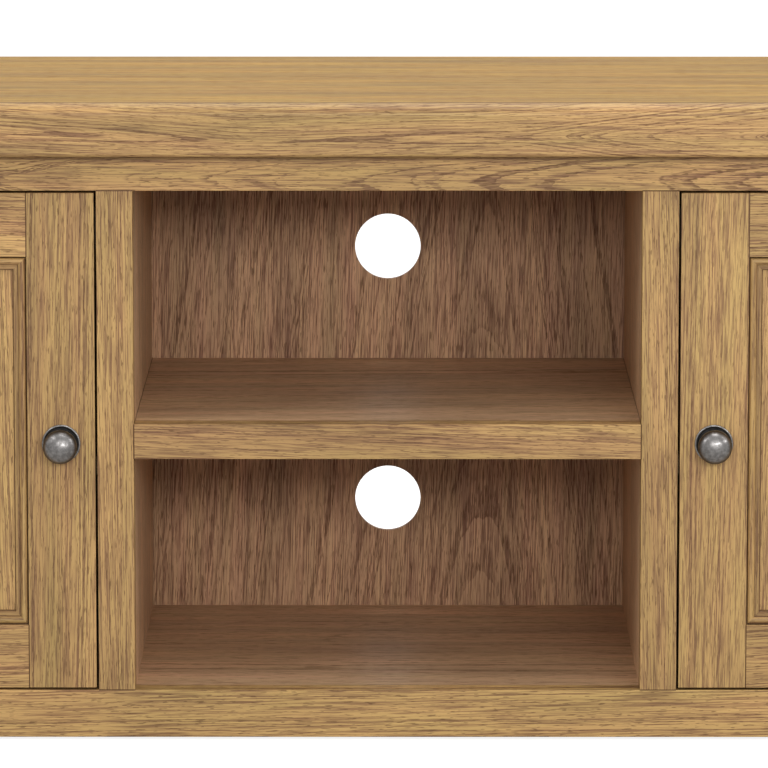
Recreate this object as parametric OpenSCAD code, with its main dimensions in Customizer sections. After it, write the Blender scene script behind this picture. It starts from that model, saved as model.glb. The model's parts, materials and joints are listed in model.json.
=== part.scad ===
// Oak media cabinet: an open centre bay with one fixed shelf between two
// cupboards, each closed by a framed door on butt hinges.
// Millimetres. X runs along the front, the front faces -Y and Z is up.
// The origin is on the floor, at the centre of the whole outline.

/* [Overall] */
// Width across the top
overall_w = 1200; // [1100:10:1400]
// Depth of the top, front to back
top_depth = 440; // [400:5:480]
// Height from the floor to the top surface
overall_h = 550; // [520:5:600]
// How far the top oversails the case at the front and ends
overhang = 25; // [15:1:35]

/* [Top] */
// Thickness of the top
top_t = 45; // [35:1:50]
// Width of the solid edging around the front and ends of the top
edging_w = 14; // [12:1:30]
// Radius along the upper edge of the top
top_round_r = 10; // [4:1:12]
// Radius along the lower edge of the top
under_round_r = 3; // [1:1:4]

/* [Face frame and case] */
// Width of the posts and centre stiles, seen from the front
post_w = 31; // [28:1:40]
// Depth of the corner posts, front to back
post_d = 45; // [42:1:60]
// Thickness of the rails, centre stiles and dividers
frame_t = 22; // [20:1:24]
// Height of the top rail of the face frame
top_rail_h = 31; // [28:1:60]
// Height of the bottom rail of the face frame
bottom_rail_h = 41; // [36:1:70]
// Clear width of the centre bay
bay_w = 432; // [380:2:480]
// Height of the rails of the end frames
end_rail_h = 60; // [50:1:80]
// Height of the upper rear rail
rear_rail_h = 50; // [40:1:60]
// Thickness of the base board and shelves
board_t = 18; // [16:1:20]
// Thickness of the end panels
end_panel_t = 8; // [6:1:10]
// Thickness of the back panels
back_t = 6; // [4:1:8]
// Height of the floor glides
glide_h = 3; // [2:1:5]

/* [Centre shelf and cable ports] */
// Clear height of the lower bay, from its floor to the shelf front
lower_bay_h = 200; // [180:5:220]
// Height of the solid front edge of the centre shelf
lipping_h = 30; // [25:1:40]
// How far the shelf front stands back from the face frame
lipping_setback = 0.5; // [0:0.5:3]
// Radius of each cable port
port_r = 30; // [20:1:35]
// Height of the lower port's centre above the floor of its bay
lower_port_rise = 100; // [70:1:130]
// Height of the upper port's centre above the shelf
upper_port_rise = 103; // [70:1:130]

/* [Doors] */
// Gap around each door
door_gap = 2; // [1.5:0.5:3]
// Thickness of the door frames
door_t = 21; // [20:1:22]
// Width of the door stiles
stile_w = 57.5; // [50:0.5:70]
// Height of the door rails
door_rail_h = 54.5; // [50:0.5:70]
// Thickness of the door panels
panel_t = 6; // [5:1:7]
// How far the panel's face lies behind the face of its frame
panel_set = 8; // [7:1:9]
// Width of the moulding planted inside the frame
moulding_w = 12; // [10:1:16]

/* [Knobs] */
// Radius of the domed head
knob_r = 14.5; // [12:0.5:18]
// Radius of the rose behind it
rose_r = 16.5; // [14:0.5:20]
// How far the knob stands out from the door
knob_reach = 30; // [26:1:36]
// Height of the knob above the bottom edge of the door
knob_rise = 211.5; // [180:0.5:240]

/* [Hinges and shelves] */
// Length of each hinge
hinge_h = 50; // [40:5:60]
// Distance from the end of the door to the middle of the hinge
hinge_inset = 75; // [60:5:90]
// Height of the cupboard shelves above the cupboard floor
cupboard_shelf_rise = 182; // [150:1:210]
// Holes in each row for the shelf pins
pin_rows = 5; // [1:2:7]

/* [Hidden] */
$fn = 48;
eps = 1;

OAK = "#b78c55";
OAK_TOP = "#b9935a";
OAK_INSIDE = "#8f6440";
OAK_BACK = "#855c38";
PEWTER = "#5c5a58";
BRASS = "#a5834a";
STEEL = "#a9abae";
PLASTIC = "#4a3a2c";

// Heights
case_top = overall_h - top_t;
floor_z = glide_h + bottom_rail_h;
head_z = case_top - top_rail_h;
lipping_z = floor_z + lower_bay_h;
shelf_top = lipping_z + lipping_h;
upper_port_z = shelf_top + upper_port_rise;
lower_port_z = floor_z + lower_port_rise;

// Widths, measured from the centre line
case_x = overall_w / 2 - overhang;
post_x = case_x - post_w;
bay_x = bay_w / 2;
center_stile_x = bay_x + post_w;
divider_x = bay_x + frame_t;
end_inner_x = case_x - frame_t;
end_panel_x = case_x - (frame_t + end_panel_t) / 2;

// Depths, measured back from the face of the face frame
case_d = top_depth - overhang;
back_inset = 4;
back_y = case_d - back_inset - back_t;
rear_post_y = case_d - post_d;
rear_rail_y = back_y - frame_t;
face_y = (knob_reach - case_d) / 2;

// Joinery
tenon_t = 8;
tenon_y = 7;
post_tenon = 18;
end_tenon = 15;
stile_tenon = 10;
shoulder = 5;
groove = 8;
tongue_t = 6;
tongue_d = 6;
housing = 6;
housing_h = 12;
floor_housing = 4;
rebate = 10;

// Doors
door_out_x = post_x - door_gap;
door_in_x = center_stile_x + door_gap;
door_z0 = floor_z + door_gap;
door_z1 = head_z - door_gap;
hinge_stile_x = door_out_x - stile_w;
lock_stile_x = door_in_x + stile_w;
panel_z0 = door_z0 + door_rail_h;
panel_z1 = door_z1 - door_rail_h;
door_groove = 10;
panel_play = 1;
door_tenon = 25;
door_tenon_outer = 7;
door_tenon_inner = door_groove + 1;
bead_r = 2.5;
bead_inset = 0.8;
bead_rise = 5;
fillet_1 = [9, 4.2];
fillet_2 = [moulding_w, 2.2];

// Knobs
knob_x = (door_in_x + lock_stile_x) / 2;
knob_z = door_z0 + knob_rise;
rose_t = 3;
rose_base_t = 1.8;
rose_bead_r = 1.1;
rose_boss_r = 8.5;
knob_foot_r = 7.5;
knob_neck_r = 6;
knob_neck_h = 8;
knob_widest_h = 20.5;
knob_screw_r = 2;
knob_screw_end = 16;
knob_screw_head_r = 4;
knob_screw_head_h = 2.4;

// Hinges: the pivot stands proud of the face, over the middle of the gap
pivot_x = post_x - door_gap / 2;
pivot_y = -3.2;
barrel_r = 3;
pin_r = 1.5;
pin_play = 0.05;
pin_cap_r = 2.4;
pin_cap_h = 1.2;
leaf_t = 1.5;
leaf_play = 0.2;
leaf_depth = 18;
leaf_start = 0.3;
knuckles = 5;
knuckle_h = hinge_h / knuckles;
knuckle_play = 0.2;
hinge_zs = [door_z0 + hinge_inset, door_z1 - hinge_inset];
leaf_screw_zs = [-17, 0, 17];
leaf_screw_ys = [8, 13, 8];

// Wood screws
screw_r = 1.6;
screw_head_r = 3.2;
screw_head_h = 1.5;
screw_len = 16;
screw_tip = 3;

// Catches and strike plates
catch_z = door_z1 - 32;
catch_y = [door_t + 1.6, door_t + 19];
catch_body_x = divider_x + 24;
catch_body_h = 36;
catch_ear_h = 58;
catch_ear_t = 3;
catch_ear_y = [catch_y[0] + 2, catch_y[1] - 3];
catch_screw_rise = 23;
strike_t = 1.2;
strike_x = [divider_x + 12.5, divider_x + 22.5];
strike_h = 40;
strike_screw_rise = 14;

// Cupboard shelves and their pins
shelf_side_play = 1;
shelf_front_y = 28;
shelf_back_play = 5;
cupboard_shelf_z = floor_z + cupboard_shelf_rise;
shelf_pin_r = 2.5;
shelf_pin_in = 8;
shelf_pin_out = 10;
pin_pitch = 32;
pin_z = cupboard_shelf_z - shelf_pin_r;
post_pin_y = 35;
rear_pin_y = case_d - 30;
divider_pin_y = 60;

// Screws that hold the top and the back panels, and the floor glides
top_screw_xs = [-400, -120, 120, 400];
top_screw_ys = [frame_t / 2, rear_rail_y + frame_t / 2];
top_screw_r = 2.2;
top_screw_head_r = 4.2;
top_screw_head_h = 3;
top_screw_len = 50;
top_screw_sink = 6;
back_screw_zs = [70, 180, 300, 420];
back_center_xs = [60, 180];
back_side_xs = [320, 460];
back_screw_r = 1.6;
back_screw_head_r = 3.5;
back_screw_head_h = 2;
back_screw_len = 16;
back_edge = 5.5;
back_gap = 0.5;
back_z = [6, 500];
back_low_z = 15;
back_high_z = case_top - rear_rail_h / 2;
glide_r = 9;
glide_chamfer = 1;
glide_nail_r = 1;
glide_nail_len = 10;

// Points along an elliptical arc, from angle a0 to angle a1
function arc(c, rx, ry, a0, a1, steps) = [
    for (i = [0:steps])
        let (a = a0 + (a1 - a0) * i / steps)
            [c[0] + rx * cos(a), c[1] + ry * sin(a)]
];

// A box given by its range along each axis
module block(xs, ys, zs) {
    translate([xs[0], ys[0], zs[0]])
        cube([xs[1] - xs[0], ys[1] - ys[0], zs[1] - zs[0]]);
}

// Moves what is drawn from the face of the face frame to its place on the floor
module at_face() {
    translate([0, face_y, 0]) children();
}

// Draws the right-hand part, or its mirror image on the left
module handed(side) {
    if (side < 0) {
        mirror([1, 0, 0]) at_face() children();
    } else {
        at_face() children();
    }
}

// Draws a right-hand shape on both sides
module both_sides() {
    children();
    mirror([1, 0, 0]) children();
}

// Points its children's +Z along +X, -X, +Y or -Y
module toward_right() {
    rotate([0, 90, 0]) children();
}

module toward_left() {
    rotate([0, -90, 0]) children();
}

module toward_back() {
    rotate([-90, 0, 0]) children();
}

module toward_front() {
    rotate([90, 0, 0]) children();
}

// ---------------------------------------------------------------- fasteners

// Countersunk wood screw, its head level with the origin, driven along +Z
module countersunk_screw(head_r, head_h, shank_r, run) {
    rotate_extrude()
        polygon([
            [0, 0], [head_r, 0], [shank_r, head_h],
            [shank_r, run - screw_tip], [0, run]
        ]);
}

module small_screw() {
    countersunk_screw(screw_head_r, screw_head_h, screw_r, screw_len);
}

// Round-headed screw, the underside of its head level with the origin
module round_head_screw() {
    rotate_extrude()
        polygon(concat(
            arc([0, 0], back_screw_head_r, -back_screw_head_h, 90, 0, 6),
            [[back_screw_r, 0], [back_screw_r, back_screw_len - screw_tip], [0, back_screw_len]]
        ));
}

module top_screw_set() {
    for (x = top_screw_xs, y = top_screw_ys)
        translate([x, y, head_z + top_screw_sink])
            countersunk_screw(top_screw_head_r, top_screw_head_h, top_screw_r, top_screw_len);
}

// Counterbores from the underside of the rails up to the screw heads
module top_screw_counterbores() {
    for (x = top_screw_xs, y = top_screw_ys)
        translate([x, y, head_z - frame_t])
            cylinder(r = top_screw_head_r, h = frame_t + top_screw_sink);
}

module back_screw(x, z) {
    translate([x, back_y + back_t, z]) toward_front() round_head_screw();
}

// Screws of the centre panel, then those of one side panel
module back_center_screws() {
    both_sides() {
        for (z = back_screw_zs)
            back_screw(bay_x + back_edge, z);
        for (x = back_center_xs, z = [back_low_z, back_high_z])
            back_screw(x, z);
    }
}

module back_side_screws() {
    for (z = back_screw_zs) {
        back_screw(divider_x - back_edge, z);
        back_screw(post_x + rebate / 2, z);
    }
    for (x = back_side_xs, z = [back_low_z, back_high_z])
        back_screw(x, z);
}

module all_back_screws() {
    back_center_screws();
    both_sides() back_side_screws();
}

module glide_set() {
    spots = [
        for (s = [-1, 1])
            for (y = [post_d / 2, case_d - post_d / 2])
                [s * (case_x - post_w / 2), y]
    ];
    for (p = spots)
        translate([p[0], p[1], 0])
            rotate_extrude()
                polygon([
                    [0, 0], [glide_r - glide_chamfer, 0], [glide_r, glide_chamfer], [glide_r, glide_h],
                    [glide_nail_r, glide_h], [glide_nail_r, glide_h + glide_nail_len],
                    [0, glide_h + glide_nail_len]
                ]);
}

// ---------------------------------------------------------------- the top

// Section of the edging: its outer face at X = 0, its underside at Y = 0
module edging_outline() {
    translate([top_round_r, 0])
        square([edging_w - top_round_r, top_t]);
    translate([0, under_round_r])
        square([top_round_r, top_t - top_round_r - under_round_r]);
    translate([under_round_r, 0])
        square([top_round_r, under_round_r]);
    translate([top_round_r, top_t - top_round_r])
        circle(r = top_round_r);
    translate([under_round_r, under_round_r])
        circle(r = under_round_r);
}

// A length of edging along +X, cut to the plan given
module edging_strip(run, plan) {
    intersection() {
        rotate([90, 0, 90])
            linear_extrude(run) edging_outline();
        linear_extrude(top_t) polygon(plan);
    }
}

module top_edging() {
    w = edging_w;
    color(OAK)
        at_face() {
            translate([-overall_w / 2, -overhang, case_top])
                edging_strip(overall_w, [[0, 0], [overall_w, 0], [overall_w - w, w], [w, w]]);
            both_sides()
                translate([overall_w / 2, -overhang, case_top])
                    rotate([0, 0, 90])
                        edging_strip(top_depth, [[0, 0], [top_depth, 0], [top_depth, w], [w, w]]);
        }
}

module top_board() {
    inner_x = overall_w / 2 - edging_w;
    color(OAK_TOP)
        at_face()
            difference() {
                block([-inner_x, inner_x], [edging_w - overhang, case_d], [case_top, overall_h]);
                top_screw_set();
            }
}

// ---------------------------------------------------------------- face frame

// Tenon on the end of a rail that meets a post
module post_tenon_block(zs, ys) {
    block([post_x, post_x + post_tenon], ys, [zs[0] + shoulder, zs[1] - shoulder]);
}

face_tenon_ys = [tenon_y, tenon_y + tenon_t];
top_rail_zs = [head_z, case_top];
bottom_rail_zs = [glide_h, floor_z];
rear_top_zs = [case_top - rear_rail_h, case_top];
rear_bottom_zs = [glide_h, floor_z - board_t];

module face_rail(zs) {
    block([-post_x, post_x], [0, frame_t], zs);
    both_sides() post_tenon_block(zs, face_tenon_ys);
}

// Tenons of a centre stile, which enter the rails above and below it
module center_stile_tenons() {
    for (zs = [[floor_z - stile_tenon, floor_z], [head_z, head_z + stile_tenon]])
        block([bay_x + shoulder, center_stile_x - shoulder], face_tenon_ys, zs);
}

module face_top_rail() {
    color(OAK)
        at_face()
            difference() {
                face_rail(top_rail_zs);
                both_sides() center_stile_tenons();
                top_screw_set();
                top_screw_counterbores();
            }
}

// Tongue along the front of the base board, let into the bottom rail
module base_tongue() {
    tongue_z = floor_z - (board_t + tongue_t) / 2;
    block([-post_x, post_x], [frame_t - tongue_d, frame_t], [tongue_z, tongue_z + tongue_t]);
}

module face_bottom_rail() {
    color(OAK)
        at_face()
            difference() {
                face_rail(bottom_rail_zs);
                both_sides() center_stile_tenons();
                base_tongue();
            }
}

module center_stile(side) {
    color(OAK)
        handed(side) {
            block([bay_x, center_stile_x], [0, frame_t], [floor_z, head_z]);
            center_stile_tenons();
        }
}

module left_center_stile() {
    center_stile(-1);
}

module right_center_stile() {
    center_stile(1);
}

// ---------------------------------------------------------------- corner posts

end_top_zs = [case_top - end_rail_h, case_top];
end_bottom_zs = [glide_h, glide_h + end_rail_h];

// Tenons of the end rails, at the front and the rear posts
module end_rail_tenons(zs) {
    xs = [end_panel_x, end_panel_x + end_panel_t];
    tenon_zs = [zs[0] + shoulder, zs[1] - shoulder];
    block(xs, [post_d - end_tenon, post_d], tenon_zs);
    block(xs, [rear_post_y, rear_post_y + end_tenon], tenon_zs);
}

module end_panel_blank() {
    block(
        [end_panel_x, end_panel_x + end_panel_t],
        [post_d - groove, rear_post_y + groove],
        [end_bottom_zs[1] - groove, end_top_zs[0] + groove]
    );
}

// One shelf pin against a post, and one against the divider
module post_pin(y, z, run_in, run_out) {
    translate([post_x - run_out, y, z])
        toward_right() cylinder(r = shelf_pin_r, h = run_in + run_out);
}

module divider_pin(y, z, run_in, run_out) {
    translate([divider_x - run_in, y, z])
        toward_right() cylinder(r = shelf_pin_r, h = run_in + run_out);
}

// The heights of one row of pin holes
pin_zs = [for (i = [0:pin_rows - 1]) pin_z + (i - (pin_rows - 1) / 2) * pin_pitch];

module leaf_recess(xs) {
    for (z = hinge_zs)
        block(xs, [-eps, leaf_depth], [z - hinge_h / 2, z + hinge_h / 2]);
}

module front_post(side) {
    color(OAK)
        handed(side)
            difference() {
                block([post_x, case_x], [0, post_d], [glide_h, case_top]);
                post_tenon_block(top_rail_zs, face_tenon_ys);
                post_tenon_block(bottom_rail_zs, face_tenon_ys);
                end_rail_tenons(end_top_zs);
                end_rail_tenons(end_bottom_zs);
                end_panel_blank();
                leaf_recess([post_x - eps, frame_leaf_xs[1]]);
                frame_leaf_screws();
                glide_set();
                for (z = pin_zs)
                    post_pin(post_pin_y, z, shelf_pin_in, eps);
            }
}

module left_front_post() {
    front_post(-1);
}

module right_front_post() {
    front_post(1);
}

rear_tenon_ys = [rear_rail_y + tenon_y, rear_rail_y + tenon_y + tenon_t];

module rear_post(side) {
    color(OAK)
        handed(side)
            difference() {
                block([post_x, case_x], [rear_post_y, case_d], [glide_h, case_top]);
                block([post_x - eps, post_x + rebate], [back_y, case_d + eps], [0, case_top + eps]);
                rear_rail_tenon(rear_top_zs);
                rear_rail_tenon(rear_bottom_zs);
                end_rail_tenons(end_top_zs);
                end_rail_tenons(end_bottom_zs);
                end_panel_blank();
                back_side_screws();
                glide_set();
                for (z = pin_zs)
                    post_pin(rear_pin_y, z, shelf_pin_in, eps);
            }
}

module left_rear_post() {
    rear_post(-1);
}

module right_rear_post() {
    rear_post(1);
}

// ---------------------------------------------------------------- end frames

module end_rail(side, zs) {
    color(OAK)
        handed(side)
            difference() {
                union() {
                    block([end_inner_x, case_x], [post_d, rear_post_y], zs);
                    end_rail_tenons(zs);
                }
                end_panel_blank();
            }
}

module left_end_top_rail() {
    end_rail(-1, end_top_zs);
}

module left_end_bottom_rail() {
    end_rail(-1, end_bottom_zs);
}

module right_end_top_rail() {
    end_rail(1, end_top_zs);
}

module right_end_bottom_rail() {
    end_rail(1, end_bottom_zs);
}

module left_end_panel() {
    color(OAK) handed(-1) end_panel_blank();
}

module right_end_panel() {
    color(OAK) handed(1) end_panel_blank();
}

// ---------------------------------------------------------------- rear rails

module rear_rail_tenon(zs) {
    rear_shoulder = 4;
    block([post_x, post_x + end_tenon], rear_tenon_ys, [zs[0] + rear_shoulder, zs[1] - rear_shoulder]);
}

module rear_rail(zs) {
    block([-post_x, post_x], [rear_rail_y, back_y], zs);
    both_sides() rear_rail_tenon(zs);
}

module rear_top_rail() {
    color(OAK_INSIDE)
        at_face()
            difference() {
                rear_rail(rear_top_zs);
                top_screw_set();
                top_screw_counterbores();
                all_back_screws();
            }
}

module rear_bottom_rail() {
    color(OAK_INSIDE)
        at_face()
            difference() {
                rear_rail(rear_bottom_zs);
                all_back_screws();
                glide_set();
            }
}

// ---------------------------------------------------------------- inside boards

// The slot that each divider takes in the base board
module divider_housing() {
    block([bay_x, divider_x], [frame_t, back_y], [floor_z - floor_housing, floor_z]);
}

module base_board() {
    color(OAK_INSIDE)
        at_face()
            difference() {
                union() {
                    block([-end_inner_x, end_inner_x], [frame_t, back_y], [floor_z - board_t, floor_z]);
                    base_tongue();
                }
                both_sides() {
                    divider_housing();
                    for (ys = [[0, post_d], [rear_post_y, case_d]])
                        block([post_x, case_x], ys, [0, case_top]);
                }
            }
}

module divider(side) {
    color(OAK_INSIDE)
        handed(side)
            difference() {
                block([bay_x, divider_x], [frame_t, back_y], [floor_z - floor_housing, case_top]);
                block([0, case_x], [rear_rail_y, back_y + eps], [rear_top_zs[0], case_top + eps]);
                shelf_board_blank();
                catch_screws();
                all_back_screws();
                for (z = pin_zs, y = [divider_pin_y, rear_pin_y])
                    divider_pin(y, z, shelf_pin_in, eps);
            }
}

module left_divider() {
    divider(-1);
}

module right_divider() {
    divider(1);
}

// The shelf board, with a tongue at each end that a divider houses
module shelf_board_blank() {
    x = bay_x + housing;
    under_z = shelf_top - board_t;
    block([-bay_x, bay_x], [frame_t, back_y], [under_z, shelf_top]);
    block([-x, x], [frame_t, back_y], [under_z, under_z + housing_h]);
}

// Tongue along the front of the shelf board, let into its lipping
module shelf_tongue() {
    tongue_z = shelf_top - (board_t + tongue_t) / 2;
    block([-bay_x, bay_x], [frame_t - tongue_d, frame_t], [tongue_z, tongue_z + tongue_t]);
}

module center_shelf_board() {
    color(OAK_INSIDE)
        at_face() {
            shelf_board_blank();
            shelf_tongue();
        }
}

module center_shelf_lipping() {
    color(OAK)
        at_face()
            difference() {
                block([-bay_x, bay_x], [lipping_setback, frame_t], [lipping_z, shelf_top]);
                shelf_tongue();
            }
}

module cupboard_shelf(side) {
    color(OAK_INSIDE)
        handed(side)
            block(
                [divider_x + shelf_side_play, post_x - shelf_side_play],
                [shelf_front_y, back_y - shelf_back_play],
                [cupboard_shelf_z, cupboard_shelf_z + board_t]
            );
}

module left_shelf() {
    cupboard_shelf(-1);
}

module right_shelf() {
    cupboard_shelf(1);
}

module shelf_pins() {
    color(STEEL)
        at_face()
            both_sides() {
                for (y = [post_pin_y, rear_pin_y])
                    post_pin(y, pin_z, shelf_pin_in, shelf_pin_out);
                for (y = [divider_pin_y, rear_pin_y])
                    divider_pin(y, pin_z, shelf_pin_in, shelf_pin_out);
            }
}

// ---------------------------------------------------------------- back panels

module back_panel_center() {
    x = bay_x + frame_t / 2 - back_gap;
    color(OAK_BACK)
        at_face()
            difference() {
                block([-x, x], [back_y, back_y + back_t], back_z);
                for (z = [lower_port_z, upper_port_z])
                    translate([0, back_y - eps, z])
                        toward_back() cylinder(r = port_r, h = back_t + 2 * eps);
                back_center_screws();
            }
}

module back_panel_side(side) {
    color(OAK_BACK)
        handed(side)
            difference() {
                block(
                    [bay_x + frame_t / 2 + back_gap, post_x + rebate - back_gap],
                    [back_y, back_y + back_t],
                    back_z
                );
                back_side_screws();
            }
}

module back_panel_left() {
    back_panel_side(-1);
}

module back_panel_right() {
    back_panel_side(1);
}

// ---------------------------------------------------------------- fixings

module floor_glides() {
    color(PLASTIC) at_face() glide_set();
}

module top_screws() {
    color(STEEL) at_face() top_screw_set();
}

module back_panel_screws() {
    color(STEEL) at_face() all_back_screws();
}

module catch_screws() {
    for (z = [catch_z - catch_screw_rise, catch_z + catch_screw_rise])
        translate([divider_x + catch_ear_t, (catch_ear_y[0] + catch_ear_y[1]) / 2, z])
            toward_left() small_screw();
}

module magnetic_catches() {
    color(PLASTIC)
        at_face()
            both_sides()
                difference() {
                    union() {
                        block(
                            [divider_x, divider_x + catch_ear_t],
                            catch_ear_y,
                            [catch_z - catch_ear_h / 2, catch_z + catch_ear_h / 2]
                        );
                        block(
                            [divider_x, catch_body_x],
                            catch_y,
                            [catch_z - catch_body_h / 2, catch_z + catch_body_h / 2]
                        );
                    }
                    catch_screws();
                }
}

// ---------------------------------------------------------------- hinges

frame_leaf_xs = [pivot_x + leaf_play, pivot_x + leaf_play + leaf_t];
door_leaf_xs = [pivot_x - leaf_play - leaf_t, pivot_x - leaf_play];

// One leaf with the knuckles that start at number first, bored for the pin
module hinge_leaf(xs, first, bore_r) {
    difference() {
        union() {
            block(xs, [leaf_start, leaf_depth], [-hinge_h / 2, hinge_h / 2]);
            for (i = [first:2:knuckles - 1]) {
                z0 = i * knuckle_h - hinge_h / 2 + knuckle_play / 2;
                z1 = z0 + knuckle_h - knuckle_play;
                block(xs, [pivot_y, leaf_start], [z0, z1]);
                translate([pivot_x, pivot_y, z0])
                    cylinder(r = barrel_r, h = z1 - z0);
            }
        }
        translate([pivot_x, pivot_y, -hinge_h])
            cylinder(r = bore_r, h = 2 * hinge_h);
    }
}

module frame_leaf_screws() {
    for (z = hinge_zs, i = [0:2])
        translate([frame_leaf_xs[0], leaf_screw_ys[i], z + leaf_screw_zs[i]])
            toward_right() small_screw();
}

module door_leaf_screws() {
    for (z = hinge_zs, i = [0:2])
        translate([door_leaf_xs[1], leaf_screw_ys[i], z + leaf_screw_zs[i]])
            toward_left() small_screw();
}

module frame_hinge_leaves() {
    color(BRASS)
        at_face()
            both_sides()
                difference() {
                    for (z = hinge_zs)
                        translate([0, 0, z]) hinge_leaf(frame_leaf_xs, 0, pin_r);
                    frame_leaf_screws();
                }
}

module hinge_pins() {
    color(BRASS)
        at_face()
            both_sides()
                for (z = hinge_zs)
                    translate([pivot_x, pivot_y, z]) {
                        translate([0, 0, -hinge_h / 2])
                            cylinder(r = pin_r, h = hinge_h);
                        translate([0, 0, hinge_h / 2])
                            cylinder(r = pin_cap_r, h = pin_cap_h);
                        translate([0, 0, -hinge_h / 2 - pin_cap_h])
                            cylinder(r = pin_cap_r, h = pin_cap_h);
                    }
}

module frame_screws() {
    color(BRASS)
        at_face()
            both_sides() {
                frame_leaf_screws();
                catch_screws();
            }
}

// ---------------------------------------------------------------- doors

// Ranges of the door rails along Z
door_bottom_zs = [door_z0, panel_z0];
door_top_zs = [panel_z1, door_z1];

// Tenons on both ends of the two door rails
module door_tenons() {
    xs = [lock_stile_x - door_tenon, hinge_stile_x + door_tenon];
    ys = [panel_set, panel_set + panel_t];
    block(xs, ys, [door_z0 + door_tenon_outer, panel_z0 - door_tenon_inner]);
    block(xs, ys, [panel_z1 + door_tenon_inner, door_z1 - door_tenon_outer]);
}

// Groove around the inside of the door frame
module door_groove_ring() {
    block(
        [lock_stile_x - door_groove, hinge_stile_x + door_groove],
        [panel_set, panel_set + panel_t],
        [panel_z0 - door_groove, panel_z1 + door_groove]
    );
}

module strike_screws() {
    for (z = [catch_z - strike_screw_rise, catch_z + strike_screw_rise])
        translate([(strike_x[0] + strike_x[1]) / 2, door_t + strike_t, z])
            toward_front() small_screw();
}

module door_hinge_stile(side) {
    color(OAK)
        handed(side)
            difference() {
                block([hinge_stile_x, door_out_x], [0, door_t], [door_z0, door_z1]);
                door_tenons();
                door_groove_ring();
                leaf_recess([door_leaf_xs[0], post_x]);
                door_leaf_screws();
            }
}

module door_lock_stile(side) {
    color(OAK)
        handed(side)
            difference() {
                block([door_in_x, lock_stile_x], [0, door_t], [door_z0, door_z1]);
                door_tenons();
                door_groove_ring();
                strike_screws();
                translate([knob_x, door_t + eps, knob_z])
                    toward_front() cylinder(r = knob_screw_r, h = door_t + 2 * eps);
            }
}

module door_rail(side, zs) {
    color(OAK)
        handed(side) {
            difference() {
                block([lock_stile_x, hinge_stile_x], [0, door_t], zs);
                door_groove_ring();
            }
            intersection() {
                door_tenons();
                union() {
                    block([door_in_x, lock_stile_x], [0, door_t], zs);
                    block([hinge_stile_x, door_out_x], [0, door_t], zs);
                }
            }
        }
}

module door_panel(side) {
    edge = door_groove - panel_play;
    color(OAK)
        handed(side)
            block(
                [lock_stile_x - edge, hinge_stile_x + edge],
                [panel_set, panel_set + panel_t],
                [panel_z0 - edge, panel_z1 + edge]
            );
}

// Section of the moulding: -X stands out from the panel, Y runs in from the frame
module moulding_outline() {
    translate([-bead_rise, 0])
        square([bead_rise, bead_inset + 2 * bead_r]);
    translate([-bead_rise, bead_inset + bead_r])
        circle(r = bead_r);
    for (f = [fillet_1, fillet_2])
        translate([-f[1], 0])
            square([f[1], f[0]]);
}

// A strip of moulding along +X, mitred at both ends
module moulding_strip(run) {
    w = moulding_w;
    intersection() {
        rotate([90, 0, 90])
            linear_extrude(run) moulding_outline();
        toward_front()
            linear_extrude(door_t)
                polygon([[0, 0], [run, 0], [run - w, w], [w, w]]);
    }
}

module door_moulding(side) {
    run_x = hinge_stile_x - lock_stile_x;
    run_z = panel_z1 - panel_z0;
    color(OAK)
        handed(side)
            translate([lock_stile_x, panel_set, panel_z0]) {
                moulding_strip(run_x);
                translate([run_x, 0, run_z])
                    rotate([0, 180, 0]) moulding_strip(run_x);
                translate([0, 0, run_z])
                    rotate([0, 90, 0]) moulding_strip(run_z);
                translate([run_x, 0, 0])
                    rotate([0, -90, 0]) moulding_strip(run_z);
            }
}

// ---------------------------------------------------------------- door fittings

module on_door_face(side) {
    handed(side)
        translate([knob_x, 0, knob_z])
            toward_front() children();
}

// Machine screw from the back of the door into the knob, along the knob's axis
module knob_screw_shape() {
    translate([0, 0, -door_t])
        cylinder(r = knob_screw_r, h = door_t + knob_screw_end);
    translate([0, 0, -door_t - knob_screw_head_h])
        cylinder(r = knob_screw_head_r, h = knob_screw_head_h);
}

module knob(side) {
    flare_h = knob_widest_h - knob_neck_h;
    foot_land = 1;
    color(PEWTER)
        on_door_face(side)
            difference() {
                rotate_extrude()
                    polygon(concat(
                        [[0, rose_t], [knob_foot_r, rose_t]],
                        arc([knob_foot_r, knob_neck_h], knob_foot_r - knob_neck_r,
                            knob_neck_h - rose_t - foot_land, 270, 180, 5),
                        arc([knob_neck_r, knob_widest_h], knob_r - knob_neck_r,
                            flare_h, 285, 360, 8),
                        arc([0, knob_widest_h], knob_r, knob_reach - knob_widest_h, 8, 90, 12)
                    ));
                knob_screw_shape();
            }
}

module knob_rose(side) {
    color(PEWTER)
        on_door_face(side)
            difference() {
                rotate_extrude() {
                    square([rose_r - rose_bead_r, rose_base_t]);
                    translate([rose_r - rose_bead_r, rose_base_t])
                        circle(r = rose_bead_r);
                    square([rose_boss_r, rose_t]);
                }
                knob_screw_shape();
            }
}

module knob_screw(side) {
    color(STEEL) on_door_face(side) knob_screw_shape();
}

module door_hinge_leaves(side) {
    color(BRASS)
        handed(side)
            difference() {
                for (z = hinge_zs)
                    translate([0, 0, z]) hinge_leaf(door_leaf_xs, 1, pin_r + pin_play);
                door_leaf_screws();
            }
}

module strike_plate(side) {
    color(STEEL)
        handed(side)
            difference() {
                block(strike_x, [door_t, door_t + strike_t], [catch_z - strike_h / 2, catch_z + strike_h / 2]);
                strike_screws();
            }
}

module door_screws(side) {
    color(BRASS)
        handed(side) {
            door_leaf_screws();
            strike_screws();
        }
}

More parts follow.
